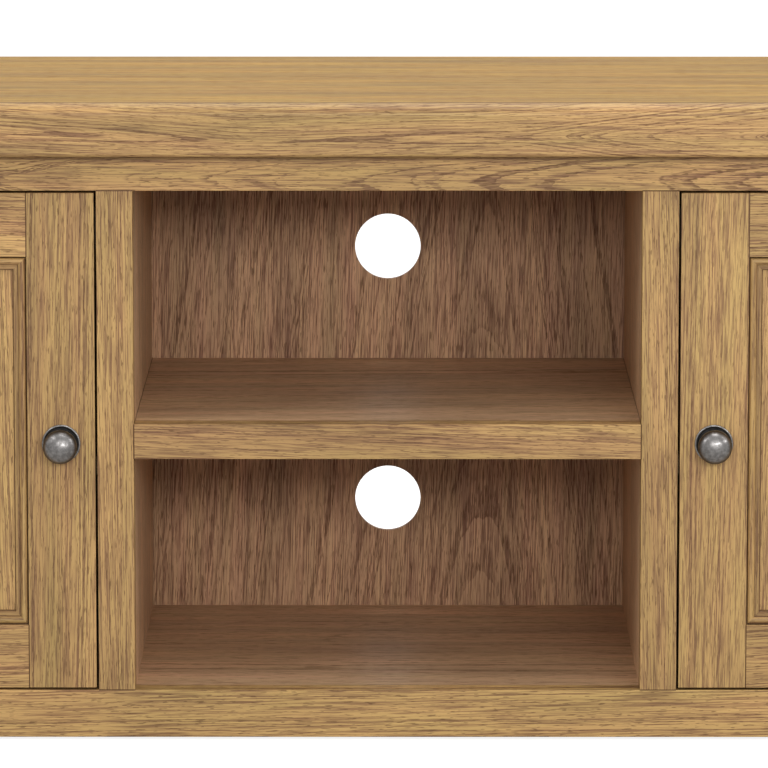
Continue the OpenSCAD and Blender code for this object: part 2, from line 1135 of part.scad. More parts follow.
module left_door_hinge_stile() { door_hinge_stile(-1); }
module left_door_lock_stile() { door_lock_stile(-1); }
module left_door_top_rail() { door_rail(-1, door_top_zs); }
module left_door_bottom_rail() { door_rail(-1, door_bottom_zs); }
module left_door_panel() { door_panel(-1); }
module left_door_moulding() { door_moulding(-1); }
module left_knob() { knob(-1); }
module left_knob_rose() { knob_rose(-1); }
module left_knob_screw() { knob_screw(-1); }
module left_door_hinge_leaves() { door_hinge_leaves(-1); }
module left_strike_plate() { strike_plate(-1); }
module left_door_screws() { door_screws(-1); }
module right_door_hinge_stile() { door_hinge_stile(1); }
module right_door_lock_stile() { door_lock_stile(1); }
module right_door_top_rail() { door_rail(1, door_top_zs); }
module right_door_bottom_rail() { door_rail(1, door_bottom_zs); }
module right_door_panel() { door_panel(1); }
module right_door_moulding() { door_moulding(1); }
module right_knob() { knob(1); }
module right_knob_rose() { knob_rose(1); }
module right_knob_screw() { knob_screw(1); }
module right_door_hinge_leaves() { door_hinge_leaves(1); }
module right_strike_plate() { strike_plate(1); }
module right_door_screws() { door_screws(1); }

top_board();
top_edging();
face_top_rail();
face_bottom_rail();
left_front_post();
right_front_post();
left_rear_post();
right_rear_post();
left_center_stile();
right_center_stile();
left_divider();
right_divider();
base_board();
left_end_top_rail();
left_end_bottom_rail();
left_end_panel();
right_end_top_rail();
right_end_bottom_rail();
right_end_panel();
rear_top_rail();
rear_bottom_rail();
back_panel_left();
back_panel_center();
back_panel_right();
center_shelf_board();
center_shelf_lipping();
left_shelf();
right_shelf();
shelf_pins();
floor_glides();
top_screws();
back_panel_screws();
magnetic_catches();
frame_hinge_leaves();
hinge_pins();
frame_screws();
left_door_hinge_stile();
left_door_lock_stile();
left_door_top_rail();
left_door_bottom_rail();
left_door_panel();
left_door_moulding();
left_knob();
left_knob_rose();
left_knob_screw();
left_door_hinge_leaves();
left_strike_plate();
left_door_screws();
right_door_hinge_stile();
right_door_lock_stile();
right_door_top_rail();
right_door_bottom_rail();
right_door_panel();
right_door_moulding();
right_knob();
right_knob_rose();
right_knob_screw();
right_door_hinge_leaves();
right_strike_plate();
right_door_screws();
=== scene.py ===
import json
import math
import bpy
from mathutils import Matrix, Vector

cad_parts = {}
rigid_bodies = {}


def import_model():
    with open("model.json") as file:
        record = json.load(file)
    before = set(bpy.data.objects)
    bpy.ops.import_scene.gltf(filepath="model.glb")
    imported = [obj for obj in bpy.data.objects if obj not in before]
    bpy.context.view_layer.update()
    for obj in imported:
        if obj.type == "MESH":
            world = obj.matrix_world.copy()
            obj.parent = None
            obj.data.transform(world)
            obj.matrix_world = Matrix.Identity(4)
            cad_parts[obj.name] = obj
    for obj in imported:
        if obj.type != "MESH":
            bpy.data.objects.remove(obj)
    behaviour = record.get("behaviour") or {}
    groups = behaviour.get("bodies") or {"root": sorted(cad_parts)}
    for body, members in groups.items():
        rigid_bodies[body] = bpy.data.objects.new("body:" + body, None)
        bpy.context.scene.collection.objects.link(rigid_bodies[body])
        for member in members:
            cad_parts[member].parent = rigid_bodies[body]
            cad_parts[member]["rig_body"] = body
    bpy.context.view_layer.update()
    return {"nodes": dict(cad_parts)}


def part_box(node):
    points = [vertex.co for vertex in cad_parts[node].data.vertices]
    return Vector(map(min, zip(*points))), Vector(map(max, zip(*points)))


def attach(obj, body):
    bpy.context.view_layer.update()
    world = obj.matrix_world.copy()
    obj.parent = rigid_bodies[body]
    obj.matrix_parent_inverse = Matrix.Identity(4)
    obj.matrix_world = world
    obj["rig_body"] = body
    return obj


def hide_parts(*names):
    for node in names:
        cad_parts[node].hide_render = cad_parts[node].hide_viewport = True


bl_info = {
    "name": "Oak Media Cabinet",
    "version": (1, 0, 0),
    "blender": (4, 5, 0),
    "location": "View3D > Sidebar > Cabinet",
    "description": "Models an oak media cabinet around its packed frame",
    "category": "Object",
}

import bmesh
import bpy
import numpy as np
from bpy.props import FloatProperty, FloatVectorProperty, IntProperty, PointerProperty
from mathutils import Matrix, Vector

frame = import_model()
NODES = frame["nodes"]
MM = 0.001
AXES = {
    "x": Vector((1, 0, 0)),
    "y": Vector((0, 1, 0)),
    "z": Vector((0, 0, 1)),
    "-x": Vector((-1, 0, 0)),
    "-y": Vector((0, -1, 0)),
}
AXIS_INDEX = {"x": 0, "y": 1, "z": 2}
SIDES = ("left", "right")
# Distances in metres below which two places count as one: the vertices of a new piece,
# those of a copied node, and a vertex and the plane that it lies on
MERGE = 1e-6
NODE_MERGE = 2e-6
FLUSH = 1e-6
ON_FACE = 1e-5


# ------------------------------------------------------------------ settings


def colour(name, description, default):
    """A colour setting, in linear light."""
    return FloatVectorProperty(
        name=name, description=description, subtype="COLOR", size=3, min=0, max=1, default=default
    )


def length(name, description, default):
    """A length setting, in metres."""
    return FloatProperty(name=name, description=description, unit="LENGTH", min=0, default=default)


def amount(name, description, default, unit="NONE"):
    """A plain number, in the unit given."""
    return FloatProperty(name=name, description=description, unit=unit, min=0, default=default)


class CabinetSizes(bpy.types.PropertyGroup):
    """Sizes that the looks add to the frame."""

    arris: length("Arris", "Width of the eased edge of each board", 0.5 * MM)
    top_radius: length("Top radius", "Radius along the upper edge of the top", 10 * MM)
    under_radius: length("Under radius", "Radius along the lower edge of the top", 3 * MM)
    edging_steps: IntProperty(
        name="Edging steps", description="Lengths that the edging is divided into", min=4, default=60
    )
    lathe_steps: IntProperty(
        name="Lathe steps", description="Steps around each turned part", min=16, default=72
    )


class CabinetFinish(bpy.types.PropertyGroup):
    """Colours of the woods, metals and plastic."""

    oak_pale: colour("Oak pale", "Late wood of the frame and doors", (0.500, 0.308, 0.115))
    oak_deep: colour("Oak deep", "Early wood of the frame and doors", (0.222, 0.115, 0.050))
    oak_pore: colour("Oak pore", "Open pores of the frame and doors", (0.105, 0.045, 0.016))
    top_pale: colour("Top pale", "Late wood of the top", (0.455, 0.262, 0.052))
    top_deep: colour("Top deep", "Early wood of the top", (0.275, 0.142, 0.030))
    top_pore: colour("Top pore", "Open pores of the top", (0.20, 0.085, 0.024))
    inside_pale: colour("Inside pale", "Late wood of the boards inside", (0.64, 0.415, 0.240))
    inside_deep: colour("Inside deep", "Early wood of the boards inside", (0.44, 0.258, 0.142))
    back_pale: colour("Back pale", "Late wood of the back panels", (0.56, 0.335, 0.185))
    back_deep: colour("Back deep", "Early wood of the back panels", (0.23, 0.110, 0.060))
    pewter_light: colour("Pewter light", "Rubbed parts of the knobs", (0.33, 0.315, 0.305))
    pewter_dark: colour("Pewter dark", "Hollows of the knobs", (0.20, 0.190, 0.184))
    brass: colour("Brass", "Hinges and their screws", (0.62, 0.43, 0.17))
    steel: colour("Steel", "Zinc-plated screws and pins", (0.56, 0.57, 0.58))
    plastic: colour("Plastic", "Glides and catches", (0.060, 0.040, 0.026))


class CabinetStage(bpy.types.PropertyGroup):
    """Floor, light and camera."""

    floor: colour("Floor", "Colour of the floor", (0.50, 0.50, 0.495))
    floor_glow: amount("Floor glow", "Light given off by the floor", 0.85)
    surround: amount("Surround", "Brightness of the light from all around", 0.60)
    backdrop: amount("Backdrop", "Brightness behind the cabinet", 1.0)
    front_light: amount("Front light", "Watts of the front light", 84, "POWER")
    high_light: amount("High light", "Watts of the light above", 30, "POWER")
    side_light: amount("Side light", "Watts of each side light", 12, "POWER")
    lens: amount("Lens", "Focal length in millimetres", 287.0, "CAMERA")


# ------------------------------------------------------------ modelling tools


def deselect():
    """Leaves edit mode and deselects every object."""
    if bpy.context.object and bpy.context.object.mode != "OBJECT":
        bpy.ops.object.mode_set(mode="OBJECT")
    bpy.ops.object.select_all(action="DESELECT")


def only(piece):
    """Makes a piece the one selected object."""
    deselect()
    piece.select_set(True)
    bpy.context.view_layer.objects.active = piece


def edit(piece):
    """Opens a piece for editing with nothing selected."""
    only(piece)
    bpy.ops.object.mode_set(mode="EDIT")
    bpy.ops.mesh.select_all(action="DESELECT")


def pick(piece, kind, test):
    """Selects the vertices, edges or faces that pass a test, and says how many."""
    bpy.ops.mesh.select_mode(type=kind)
    bpy.ops.mesh.select_all(action="DESELECT")
    mesh = bmesh.from_edit_mesh(piece.data)
    mesh.normal_update()
    items = {"VERT": mesh.verts, "EDGE": mesh.edges, "FACE": mesh.faces}[kind]
    count = 0
    for item in items:
        if test(item):
            item.select_set(True)
            count += 1
    bmesh.update_edit_mesh(piece.data)
    return count


def new_piece(name):
    """Names the primitive that was just added."""
    piece = bpy.context.active_object
    piece.name = name
    piece.data.name = name
    return piece


def settle(piece):
    """Leaves edit mode and puts the piece's place into its mesh."""
    only(piece)
    bpy.ops.object.transform_apply(location=True, rotation=True, scale=True)
    return piece


def merge_and_face_out():
    """Merges doubled vertices and turns every face outwards, in edit mode."""
    bpy.ops.mesh.select_all(action="SELECT")
    bpy.ops.mesh.remove_doubles(threshold=MERGE)
    bpy.ops.mesh.normals_make_consistent(inside=False)


def smooth(piece, degrees=30):
    """Shades a piece smooth, apart from its sharp edges."""
    only(piece)
    bpy.ops.object.shade_smooth_by_angle(angle=math.radians(degrees))


def weigh_normals(piece):
    """Keeps the flats between rounded edges looking flat."""
    only(piece)
    piece.modifiers.new("flats", "WEIGHTED_NORMAL").keep_sharp = True
    bpy.ops.object.modifier_apply(modifier="flats")


# Faces of a node that meet at less than this angle are one flat face
FLAT_ANGLE = math.radians(0.3)


def slice_at(index, level):
    """Cuts every face along a plane square to one axis, in edit mode."""
    place, normal = [0, 0, 0], [0, 0, 0]
    place[index] = level
    normal[index] = 1
    bpy.ops.mesh.select_all(action="SELECT")
    bpy.ops.mesh.bisect(plane_co=place, plane_no=normal)


def copy_of_node(node, name):
    """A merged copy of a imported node's mesh, its flat faces made whole again."""
    piece = bpy.data.objects.new(name, NODES[node].data.copy())
    piece.data.name = name
    piece.data.materials.clear()
    bpy.context.scene.collection.objects.link(piece)
    edit(piece)
    bpy.ops.mesh.select_all(action="SELECT")
    bpy.ops.mesh.remove_doubles(threshold=NODE_MERGE)
    bpy.ops.mesh.dissolve_limited(angle_limit=FLAT_ANGLE)
    return piece


def outline_face(name, points):
    """A flat face with the outline given, left open for editing."""
    deselect()
    bpy.ops.mesh.primitive_circle_add(vertices=len(points), radius=MM, fill_type="NGON")
    piece = new_piece(name)
    edit(piece)
    mesh = bmesh.from_edit_mesh(piece.data)
    mesh.verts.ensure_lookup_table()
    for vertex, point in zip(mesh.verts, points):
        vertex.co = point
    bmesh.update_edit_mesh(piece.data)
    return piece


def turned(name, profile, place, axis, steps):
    """A part turned on a lathe: (radius, height) pairs spun around an axis."""
    deselect()
    bpy.ops.mesh.primitive_circle_add(vertices=len(profile), radius=MM, fill_type="NOTHING")
    piece = new_piece(name)
    edit(piece)
    last = len(profile) - 1
    pick(piece, "EDGE", lambda e: {v.index for v in e.verts} == {0, last})
    bpy.ops.mesh.delete(type="EDGE")
    mesh = bmesh.from_edit_mesh(piece.data)
    mesh.verts.ensure_lookup_table()
    for vertex, (radius, height) in zip(mesh.verts, profile):
        vertex.co = Vector((radius, 0, height))
    bmesh.update_edit_mesh(piece.data)
    bpy.ops.mesh.select_all(action="SELECT")
    bpy.ops.mesh.spin(steps=steps, angle=math.tau, center=(0, 0, 0), axis=(0, 0, 1))
    merge_and_face_out()
    deselect()
    piece.data.transform(place_matrix(place, axis))
    return piece


def place_matrix(place, axis):
    """Puts an upright part at a place with its +Z along an axis."""
    turn = Vector(axis).to_track_quat("Z", "Y").to_matrix().to_4x4()
    return Matrix.Translation(Vector(place)) @ turn


def arc(centre, radius, start, end, steps):
    """Points along a circular arc, the angles in degrees."""
    return [
        (
            centre[0] + radius * math.cos(math.radians(start + (end - start) * i / steps)),
            centre[1] + radius * math.sin(math.radians(start + (end - start) * i / steps)),
        )
        for i in range(steps + 1)
    ]


def oval_arc(centre, radii, start, end, steps):
    """Points along an elliptical arc, the angles in degrees."""
    return [
        (centre[0] + radii[0] * (x - centre[0]), centre[1] + radii[1] * (y - centre[1]))
        for x, y in arc(centre, 1, start, end, steps)
    ]


def finish_piece(piece, material, slot, body, *replaced):
    """Gives a piece its material and its body, and hides the nodes that it stands for."""
    deselect()
    piece.data.materials.clear()
    piece.data.materials.append(material)
    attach(piece, body)
    if replaced:
        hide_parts(*replaced)
    return piece


def body_of(node):
    """The body that a node rides on."""
    return NODES[node]["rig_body"]


# --------------------------------------------------------------------- boards

# The range of a board between its tenons, along one axis, from the boards that it meets
SHOULDERS = {"center_shelf_board": ("x", "left_divider", "right_divider")}
for level in ("top", "bottom"):
    for frame_part, post in (("face", "front"), ("rear", "rear")):
        SHOULDERS[f"{frame_part}_{level}_rail"] = ("x", f"left_{post}_post", f"right_{post}_post")
    for side, stiles in (("left", ("hinge", "lock")), ("right", ("lock", "hinge"))):
        SHOULDERS[f"{side}_center_stile"] = ("z", "face_bottom_rail", "face_top_rail")
        SHOULDERS[f"{side}_end_{level}_rail"] = ("y", f"{side}_front_post", f"{side}_rear_post")
        ends = (f"{side}_door_{stile}_stile" for stile in stiles)
        SHOULDERS[f"{side}_door_{level}_rail"] = ("x", *ends)
# A tongue along the front of a board stops at the board that it enters
TONGUES = {"base_board": "face_bottom_rail", "center_shelf_board": "center_shelf_lipping"}


def shown_box(node):
    """A board's box between its shoulders, as two lists of three numbers."""
    low, high = (list(corner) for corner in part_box(node))
    if node in SHOULDERS:
        axis, before, after = SHOULDERS[node]
        index = AXIS_INDEX[axis]
        low[index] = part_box(before)[1][index]
        high[index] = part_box(after)[0][index]
    if node in TONGUES:
        low[1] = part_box(TONGUES[node])[1].y
    return low, high


def edging_boxes():
    """The box of each length of edging."""
    low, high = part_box("top_edging")
    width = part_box("top_board")[0].y - low.y
    return {
        "edging_front": ((low.x, low.y, low.z), (high.x, low.y + width, high.z)),
        "edging_left": ((low.x, low.y, low.z), (low.x + width, high.y, high.z)),
        "edging_right": ((high.x - width, low.y, low.z), (high.x, high.y, high.z)),
    }


def board_body(name):
    """The body of a board or a length of edging."""
    return body_of(name) if name in NODES else "cabinet"


class Figure:
    """How a board was cut from the log: where its heart lies and how its rings run."""

    def __init__(self, along, face, depth=(0.05,), sway=(0.06,), rise=(0.0,), tone=0.0,
                 warmth=0.0, fleck=0.0, pores=1.0, tightness=1.0):
        self.along = along
        self.face = face
        self.depth = depth
        self.sway = sway
        self.rise = rise
        self.board = (0.5 + tone, 0.5 + warmth, fleck, pores)
        self.tightness = tightness


def ramp(values, t):
    """Evenly spaced values along a board, read at each t from 0 to 1."""
    if len(values) == 1:
        values = values * 2
    return np.interp(t, np.linspace(0, 1, len(values)), values)


# How far further along the log each board is cut, in metres
LOG_STEP = 1.37


def lay_grain(piece, figure, low, high, number):
    """Writes where each vertex lies in its log, and the board's own tone."""
    mesh = piece.data
    count = len(mesh.vertices)
    places = np.empty(count * 3, np.float32)
    mesh.vertices.foreach_get("co", places)
    places = places.reshape(-1, 3).astype(float)
    along = np.array(AXES[figure.along])
    face = np.array(AXES[figure.face])
    across = np.cross(along, face)
    low, high = np.array(low), np.array(high)
    middle = (low + high) / 2
    half = (high - low) / 2
    u = (places - middle) @ along
    t = u / (2 * np.abs(half @ along)) + 0.5
    v = (places - middle) @ across
    s = (places - middle) @ face - np.abs(half @ face)
    grain = np.stack(
        [
            u + LOG_STEP * number,
            (v - ramp(figure.sway, t)) * figure.tightness,
            (s + ramp(figure.depth, t)) * figure.tightness,
        ],
        axis=1,
    )
    write_points(mesh, "grain", "FLOAT_VECTOR", "vector", grain)
    write_points(mesh, "rise", "FLOAT", "value", ramp(figure.rise, t))
    write_points(mesh, "board", "FLOAT_COLOR", "color", np.tile(figure.board, (count, 1)))


def write_points(mesh, name, kind, field, values):
    """Stores one value on each vertex."""
    layer = mesh.attributes.new(name, kind, "POINT")
    layer.data.foreach_set(field, np.asarray(values, np.float32).ravel())


def touching(low, high, other_low, other_high, reach):
    """Whether two boxes come within reach of each other."""
    return all(low[i] - reach < other_high[i] and other_low[i] - reach < high[i] for i in range(3))


def mark_faces(piece, depth_of):
    """Stores how dark each face is, from dark joints and from painted shade."""
    layer = piece.data.attributes.new("joint", "FLOAT", "FACE")
    marks = [depth_of(face) for face in piece.data.polygons]
    layer.data.foreach_set("value", np.array(marks, np.float32))


# Painted shadow below the overhang of the top: how far down the rail, and how dark
PAINTED_OVERHANG_SHADOW = {"face_top_rail": ((2.4 * MM, 0.80), (4.8 * MM, 0.50), (7.0 * MM, 0.22))}
# A face whose normal has a part this large along an axis is square to it
SQUARE = 0.999


def mark_joints_and_shade(piece, node, boxes, reach):
    """Marks the eased edges that meet another board of the body, and paints the shadow below the overhang
    of the top.
    """
    near = [
        box
        for other, box in boxes.items()
        if other != node and board_body(other) == board_body(node)
        and touching(*boxes[node], *box, reach)
    ]

    def depth_of(face):
        place = face.center
        if max(abs(c) for c in face.normal) <= SQUARE:
            return float(any(touching(place, place, *box, reach) for box in near))
        # Faces square to an axis get painted shadow in the bands below the overhang of the top
        top = boxes[node][1][2]
        return next((depth for drop, depth in PAINTED_OVERHANG_SHADOW.get(node, ()) if top - drop < place.z), 0.0)

    mark_faces(piece, depth_of)


# Boards this close are in contact, and edges shorter than the other length stay sharp
CONTACT = 0.1 * MM
SHORTEST_ARRIS = 2 * MM
# How far a joint's dark line reaches, in widths of the eased edge
JOINT_REACH = 1.2


def ease_board(node, boxes, width):
    """A copy of a board with its arrises eased, cut where its neighbours begin and end."""
    piece = copy_of_node(node, "wood_" + node)
    low, high = boxes[node]
    spans = [high[i] - low[i] for i in range(3)]
    along = spans.index(max(spans))
    cuts = set()
    for other, (other_low, other_high) in boxes.items():
        if other == node or board_body(other) != board_body(node):
            continue
        if touching(low, high, other_low, other_high, CONTACT):
            cuts |= {round(c[along], 6) for c in (other_low, other_high)}
    for cut in sorted(cuts):
        if low[along] + MM < cut < high[along] - MM:
            slice_at(along, cut)

    def on_arris(edge):
        ends = [v.co for v in edge.verts]
        if edge.calc_length() < SHORTEST_ARRIS or len(edge.link_faces) != 2 or not edge.is_convex:
            return False
        planes = 0
        for i in range(3):
            planes += any(all(abs(co[i] - side[i]) < ON_FACE for co in ends) for side in (low, high))
        return planes == 2

    if pick(piece, "EDGE", on_arris):
        bpy.ops.mesh.bevel(offset=width, segments=2, affect="EDGES", clamp_overlap=False)
    # Cuts the rail at the edges of the bands of painted shadow below the overhang
    for drop, _ in PAINTED_OVERHANG_SHADOW.get(node, ()):
        slice_at(2, high[2] - drop)
    deselect()
    mark_joints_and_shade(piece, node, boxes, JOINT_REACH * width)
    return piece


def lay_boards(boards, finish, width):
    """Makes the pieces for a table of boards, all with one finish."""
    boxes = {node: shown_box(node) for node in WOODEN}
    boxes.update(edging_boxes())
    for node, figure in boards.items():
        piece = ease_board(node, boxes, width)
        lay_grain(piece, figure, *boxes[node], sorted(WOODEN).index(node))
        finish_piece(piece, finish_of(finish), finish, body_of(node), node)


FACE_FRAME = {
    "face_top_rail": Figure("x", "-y", depth=(0.030, 0.022), sway=(0.004, 0.010), rise=(0.02, -0.03),
                            tone=0.09),
    "face_bottom_rail": Figure("x", "-y", depth=(0.014, 0.020), sway=(-0.030, -0.052), rise=(0.006, -0.006),
                               tone=0.07, warmth=-0.02, pores=1.1, tightness=0.8),
    "left_front_post": Figure("z", "-y", depth=(0.06,), sway=(0.07, 0.062)),
    "right_front_post": Figure("z", "-y", depth=(0.06,), sway=(-0.07, -0.062)),
    "left_center_stile": Figure("z", "-y", depth=(0.05, 0.054), sway=(0.060, 0.055)),
    "right_center_stile": Figure("z", "-y", depth=(0.05, 0.046), sway=(-0.050, -0.058), tone=0.01),
    "center_shelf_lipping": Figure("x", "-y", depth=(0.045, 0.040), sway=(0.050, 0.066), fleck=1.0,
                                   warmth=0.03),
}
END_FRAMES = {
    "left_rear_post": Figure("z", "-x", depth=(0.05,), sway=(0.07, 0.066)),
    "right_rear_post": Figure("z", "x", depth=(0.05,), sway=(-0.07, -0.066)),
    "left_end_top_rail": Figure("y", "-x", depth=(0.03,), sway=(0.045, 0.040)),
    "right_end_top_rail": Figure("y", "x", depth=(0.03,), sway=(-0.045, -0.050)),
    "left_end_bottom_rail": Figure("y", "-x", depth=(0.035,), sway=(-0.050, -0.042), tone=-0.03),
    "right_end_bottom_rail": Figure("y", "x", depth=(0.035,), sway=(0.050, 0.046), tone=-0.03),
    "left_end_panel": Figure("z", "-x", depth=(0.02,), sway=(0.02,), rise=(0.0, 0.065), tone=0.02),
    "right_end_panel": Figure("z", "x", depth=(0.02,), sway=(-0.03,), rise=(0.0, 0.060), tone=0.02),
}
INSIDE = {
    "left_divider": Figure("z", "x", depth=(0.03,), sway=(0.16,), tone=0.01),
    "right_divider": Figure("z", "-x", depth=(0.03,), sway=(-0.16,), tone=0.04),
    "base_board": Figure("x", "z", depth=(0.03,), sway=(0.10, 0.12)),
    "center_shelf_board": Figure("x", "z", depth=(0.03,), sway=(-0.09, -0.11)),
    "left_shelf": Figure("x", "z", depth=(0.03,), sway=(0.11, 0.12)),
    "right_shelf": Figure("x", "z", depth=(0.03,), sway=(-0.12, -0.10)),
    "rear_top_rail": Figure("x", "-y", depth=(0.03,), sway=(0.05, 0.06)),
    "rear_bottom_rail": Figure("x", "-y", depth=(0.03,), sway=(0.05, 0.04)),
}
BACK = {
    "back_panel_center": Figure("z", "-y", depth=(0.026,), sway=(0.080, 0.095), rise=(0.0, 0.075)),
    "back_panel_left": Figure("z", "-y", depth=(0.020,), sway=(0.03,), rise=(0.0, 0.070)),
    "back_panel_right": Figure("z", "-y", depth=(0.020,), sway=(-0.02,), rise=(0.0, 0.075)),
}
DOORS = {
    "left_door_hinge_stile": Figure("z", "-y", depth=(0.05,), sway=(0.08, 0.076)),
    "left_door_lock_stile": Figure("z", "-y", depth=(0.04, 0.045), sway=(-0.070, -0.062)),
    "left_door_top_rail": Figure("x", "-y", depth=(0.05,), sway=(0.06, 0.064)),
    "left_door_bottom_rail": Figure("x", "-y", depth=(0.05,), sway=(-0.06, -0.066)),
    "left_door_panel": Figure("z", "-y", depth=(0.03,), sway=(0.10, 0.09), tone=0.13),
    "right_door_hinge_stile": Figure("z", "-y", depth=(0.05,), sway=(-0.08, -0.076)),
    "right_door_lock_stile": Figure("z", "-y", depth=(0.05, 0.04), sway=(0.06, 0.07), tone=0.04,
                                    warmth=-0.01, pores=0.7),
    "right_door_top_rail": Figure("x", "-y", depth=(0.05,), sway=(-0.06, -0.064)),
    "right_door_bottom_rail": Figure("x", "-y", depth=(0.05,), sway=(0.06, 0.05)),
    "right_door_panel": Figure("z", "-y", depth=(0.03,), sway=(-0.10, -0.09), tone=0.14),
}
TOP = {"top_board": Figure("x", "z", depth=(0.04,), sway=(0.25,))}
WOODEN = {**FACE_FRAME, **END_FRAMES, **INSIDE, **BACK, **DOORS, **TOP}


# ------------------------------------------------------------------ materials


class Wiring:
    """Adds nodes to a node tree and joins them up."""

    def __init__(self, tree):
        self.tree = tree

    def node(self, kind, **settings):
        made = self.tree.nodes.new(kind)
        for name, value in settings.items():
            setattr(made, name, value)
        return made

    def feed(self, socket, value):
        if isinstance(value, bpy.types.NodeSocket):
            self.tree.links.new(value, socket)
        else:
            socket.default_value = value

    def math(self, operation, *values, clamp=False):
        made = self.node("ShaderNodeMath", operation=operation, use_clamp=clamp)
        for socket, value in zip(made.inputs, values):
            self.feed(socket, value)
        return made.outputs[0]

    def plus(self, *values, clamp=False):
        return self.math("ADD", *values, clamp=clamp)

    def minus(self, *values):
        return self.math("SUBTRACT", *values)

    def times(self, *values, clamp=False):
        return self.math("MULTIPLY", *values, clamp=clamp)

    def centred(self, value, amount):
        return self.times(self.minus(value, 0.5), amount)

    def stretch(self, vector, scale):
        made = self.node("ShaderNodeVectorMath", operation="MULTIPLY")
        self.feed(made.inputs[0], vector)
        self.feed(made.inputs[1], scale)
        return made.outputs[0]

    def noise(self, vector, scale=1.0, detail=2.0, roughness=0.5):
        made = self.node("ShaderNodeTexNoise")
        self.feed(made.inputs["Vector"], vector)
        self.feed(made.inputs["Scale"], scale)
        self.feed(made.inputs["Detail"], detail)
        self.feed(made.inputs["Roughness"], roughness)
        return made

    def span(self, value, low, high, to_low=0.0, to_high=1.0):
        made = self.node("ShaderNodeMapRange", interpolation_type="SMOOTHSTEP")
        for socket, item in zip(made.inputs, (value, low, high, to_low, to_high)):
            self.feed(socket, item)
        return made.outputs[0]

    def mix(self, amount, first, second, blend="MIX"):
        made = self.node("ShaderNodeMix", data_type="RGBA", blend_type=blend, clamp_result=True)
        self.feed(made.inputs[0], amount)
        self.feed(made.inputs[6], first)
        self.feed(made.inputs[7], second)
        return made.outputs[2]

    def attribute(self, name):
        return self.node("ShaderNodeAttribute", attribute_name=name)

    def group(self, name):
        return self.node("ShaderNodeGroup", node_tree=bpy.data.node_groups[name])


def new_group(name, inputs, outputs):
    """An empty node group with named inputs and outputs."""
    tree = bpy.data.node_groups.new(name, "ShaderNodeTree")
    for label, kind, default in inputs:
        socket = tree.interface.new_socket(name=label, in_out="INPUT", socket_type=kind)
        if default is not None:
            socket.default_value = default
    for label, kind in outputs:
        tree.interface.new_socket(name=label, in_out="OUTPUT", socket_type=kind)
    wires = Wiring(tree)
    source = wires.node("NodeGroupInput").outputs
    sink = wires.node("NodeGroupOutput").inputs
    return tree, wires, source, sink


FLOAT = "NodeSocketFloat"
COLOUR = "NodeSocketColor"
VECTOR = "NodeSocketVector"


# How often each pattern repeats in a metre: along the grain, and across it both ways
SCALES = {
    "drift": (2.6, 9.0, 9.0),
    "ragged": (22.0, 150.0, 150.0),
    "flakes": (95.0, 620.0, 300.0),
    "flake patches": (5.0, 12.0, 12.0),
    "tone": (3.0, 30.0, 30.0),
    "rosiness": (6.0, 75.0, 75.0),
    "thin streaks": (24.0, 1000.0, 1000.0),
    "broad streaks": (9.0, 320.0, 320.0),
}
PORES_ACROSS = 1150.0
# How far a ring's edge wavers, in metres
RAGGED_DEPTH = 0.0022
# How fast good and poor years follow each other, and how much they change the gap
SEASON_PACE = 0.41
SEASON_SWING = 1.7
# The faintest and the boldest ring
RING_STRENGTH = (0.2, 1.0)
# How full the noise must be for a pore in late wood, how much less in early wood, and the rim
PORE_EDGE = 0.62
PORE_EARLY = 0.15
PORE_RIM = 0.07
# The lean of the ray flecks, and the share of thin and broad streaks
FLAKE_LEAN = math.radians(24)
THIN_SHARE = 0.42
BROAD_SHARE = 0.58


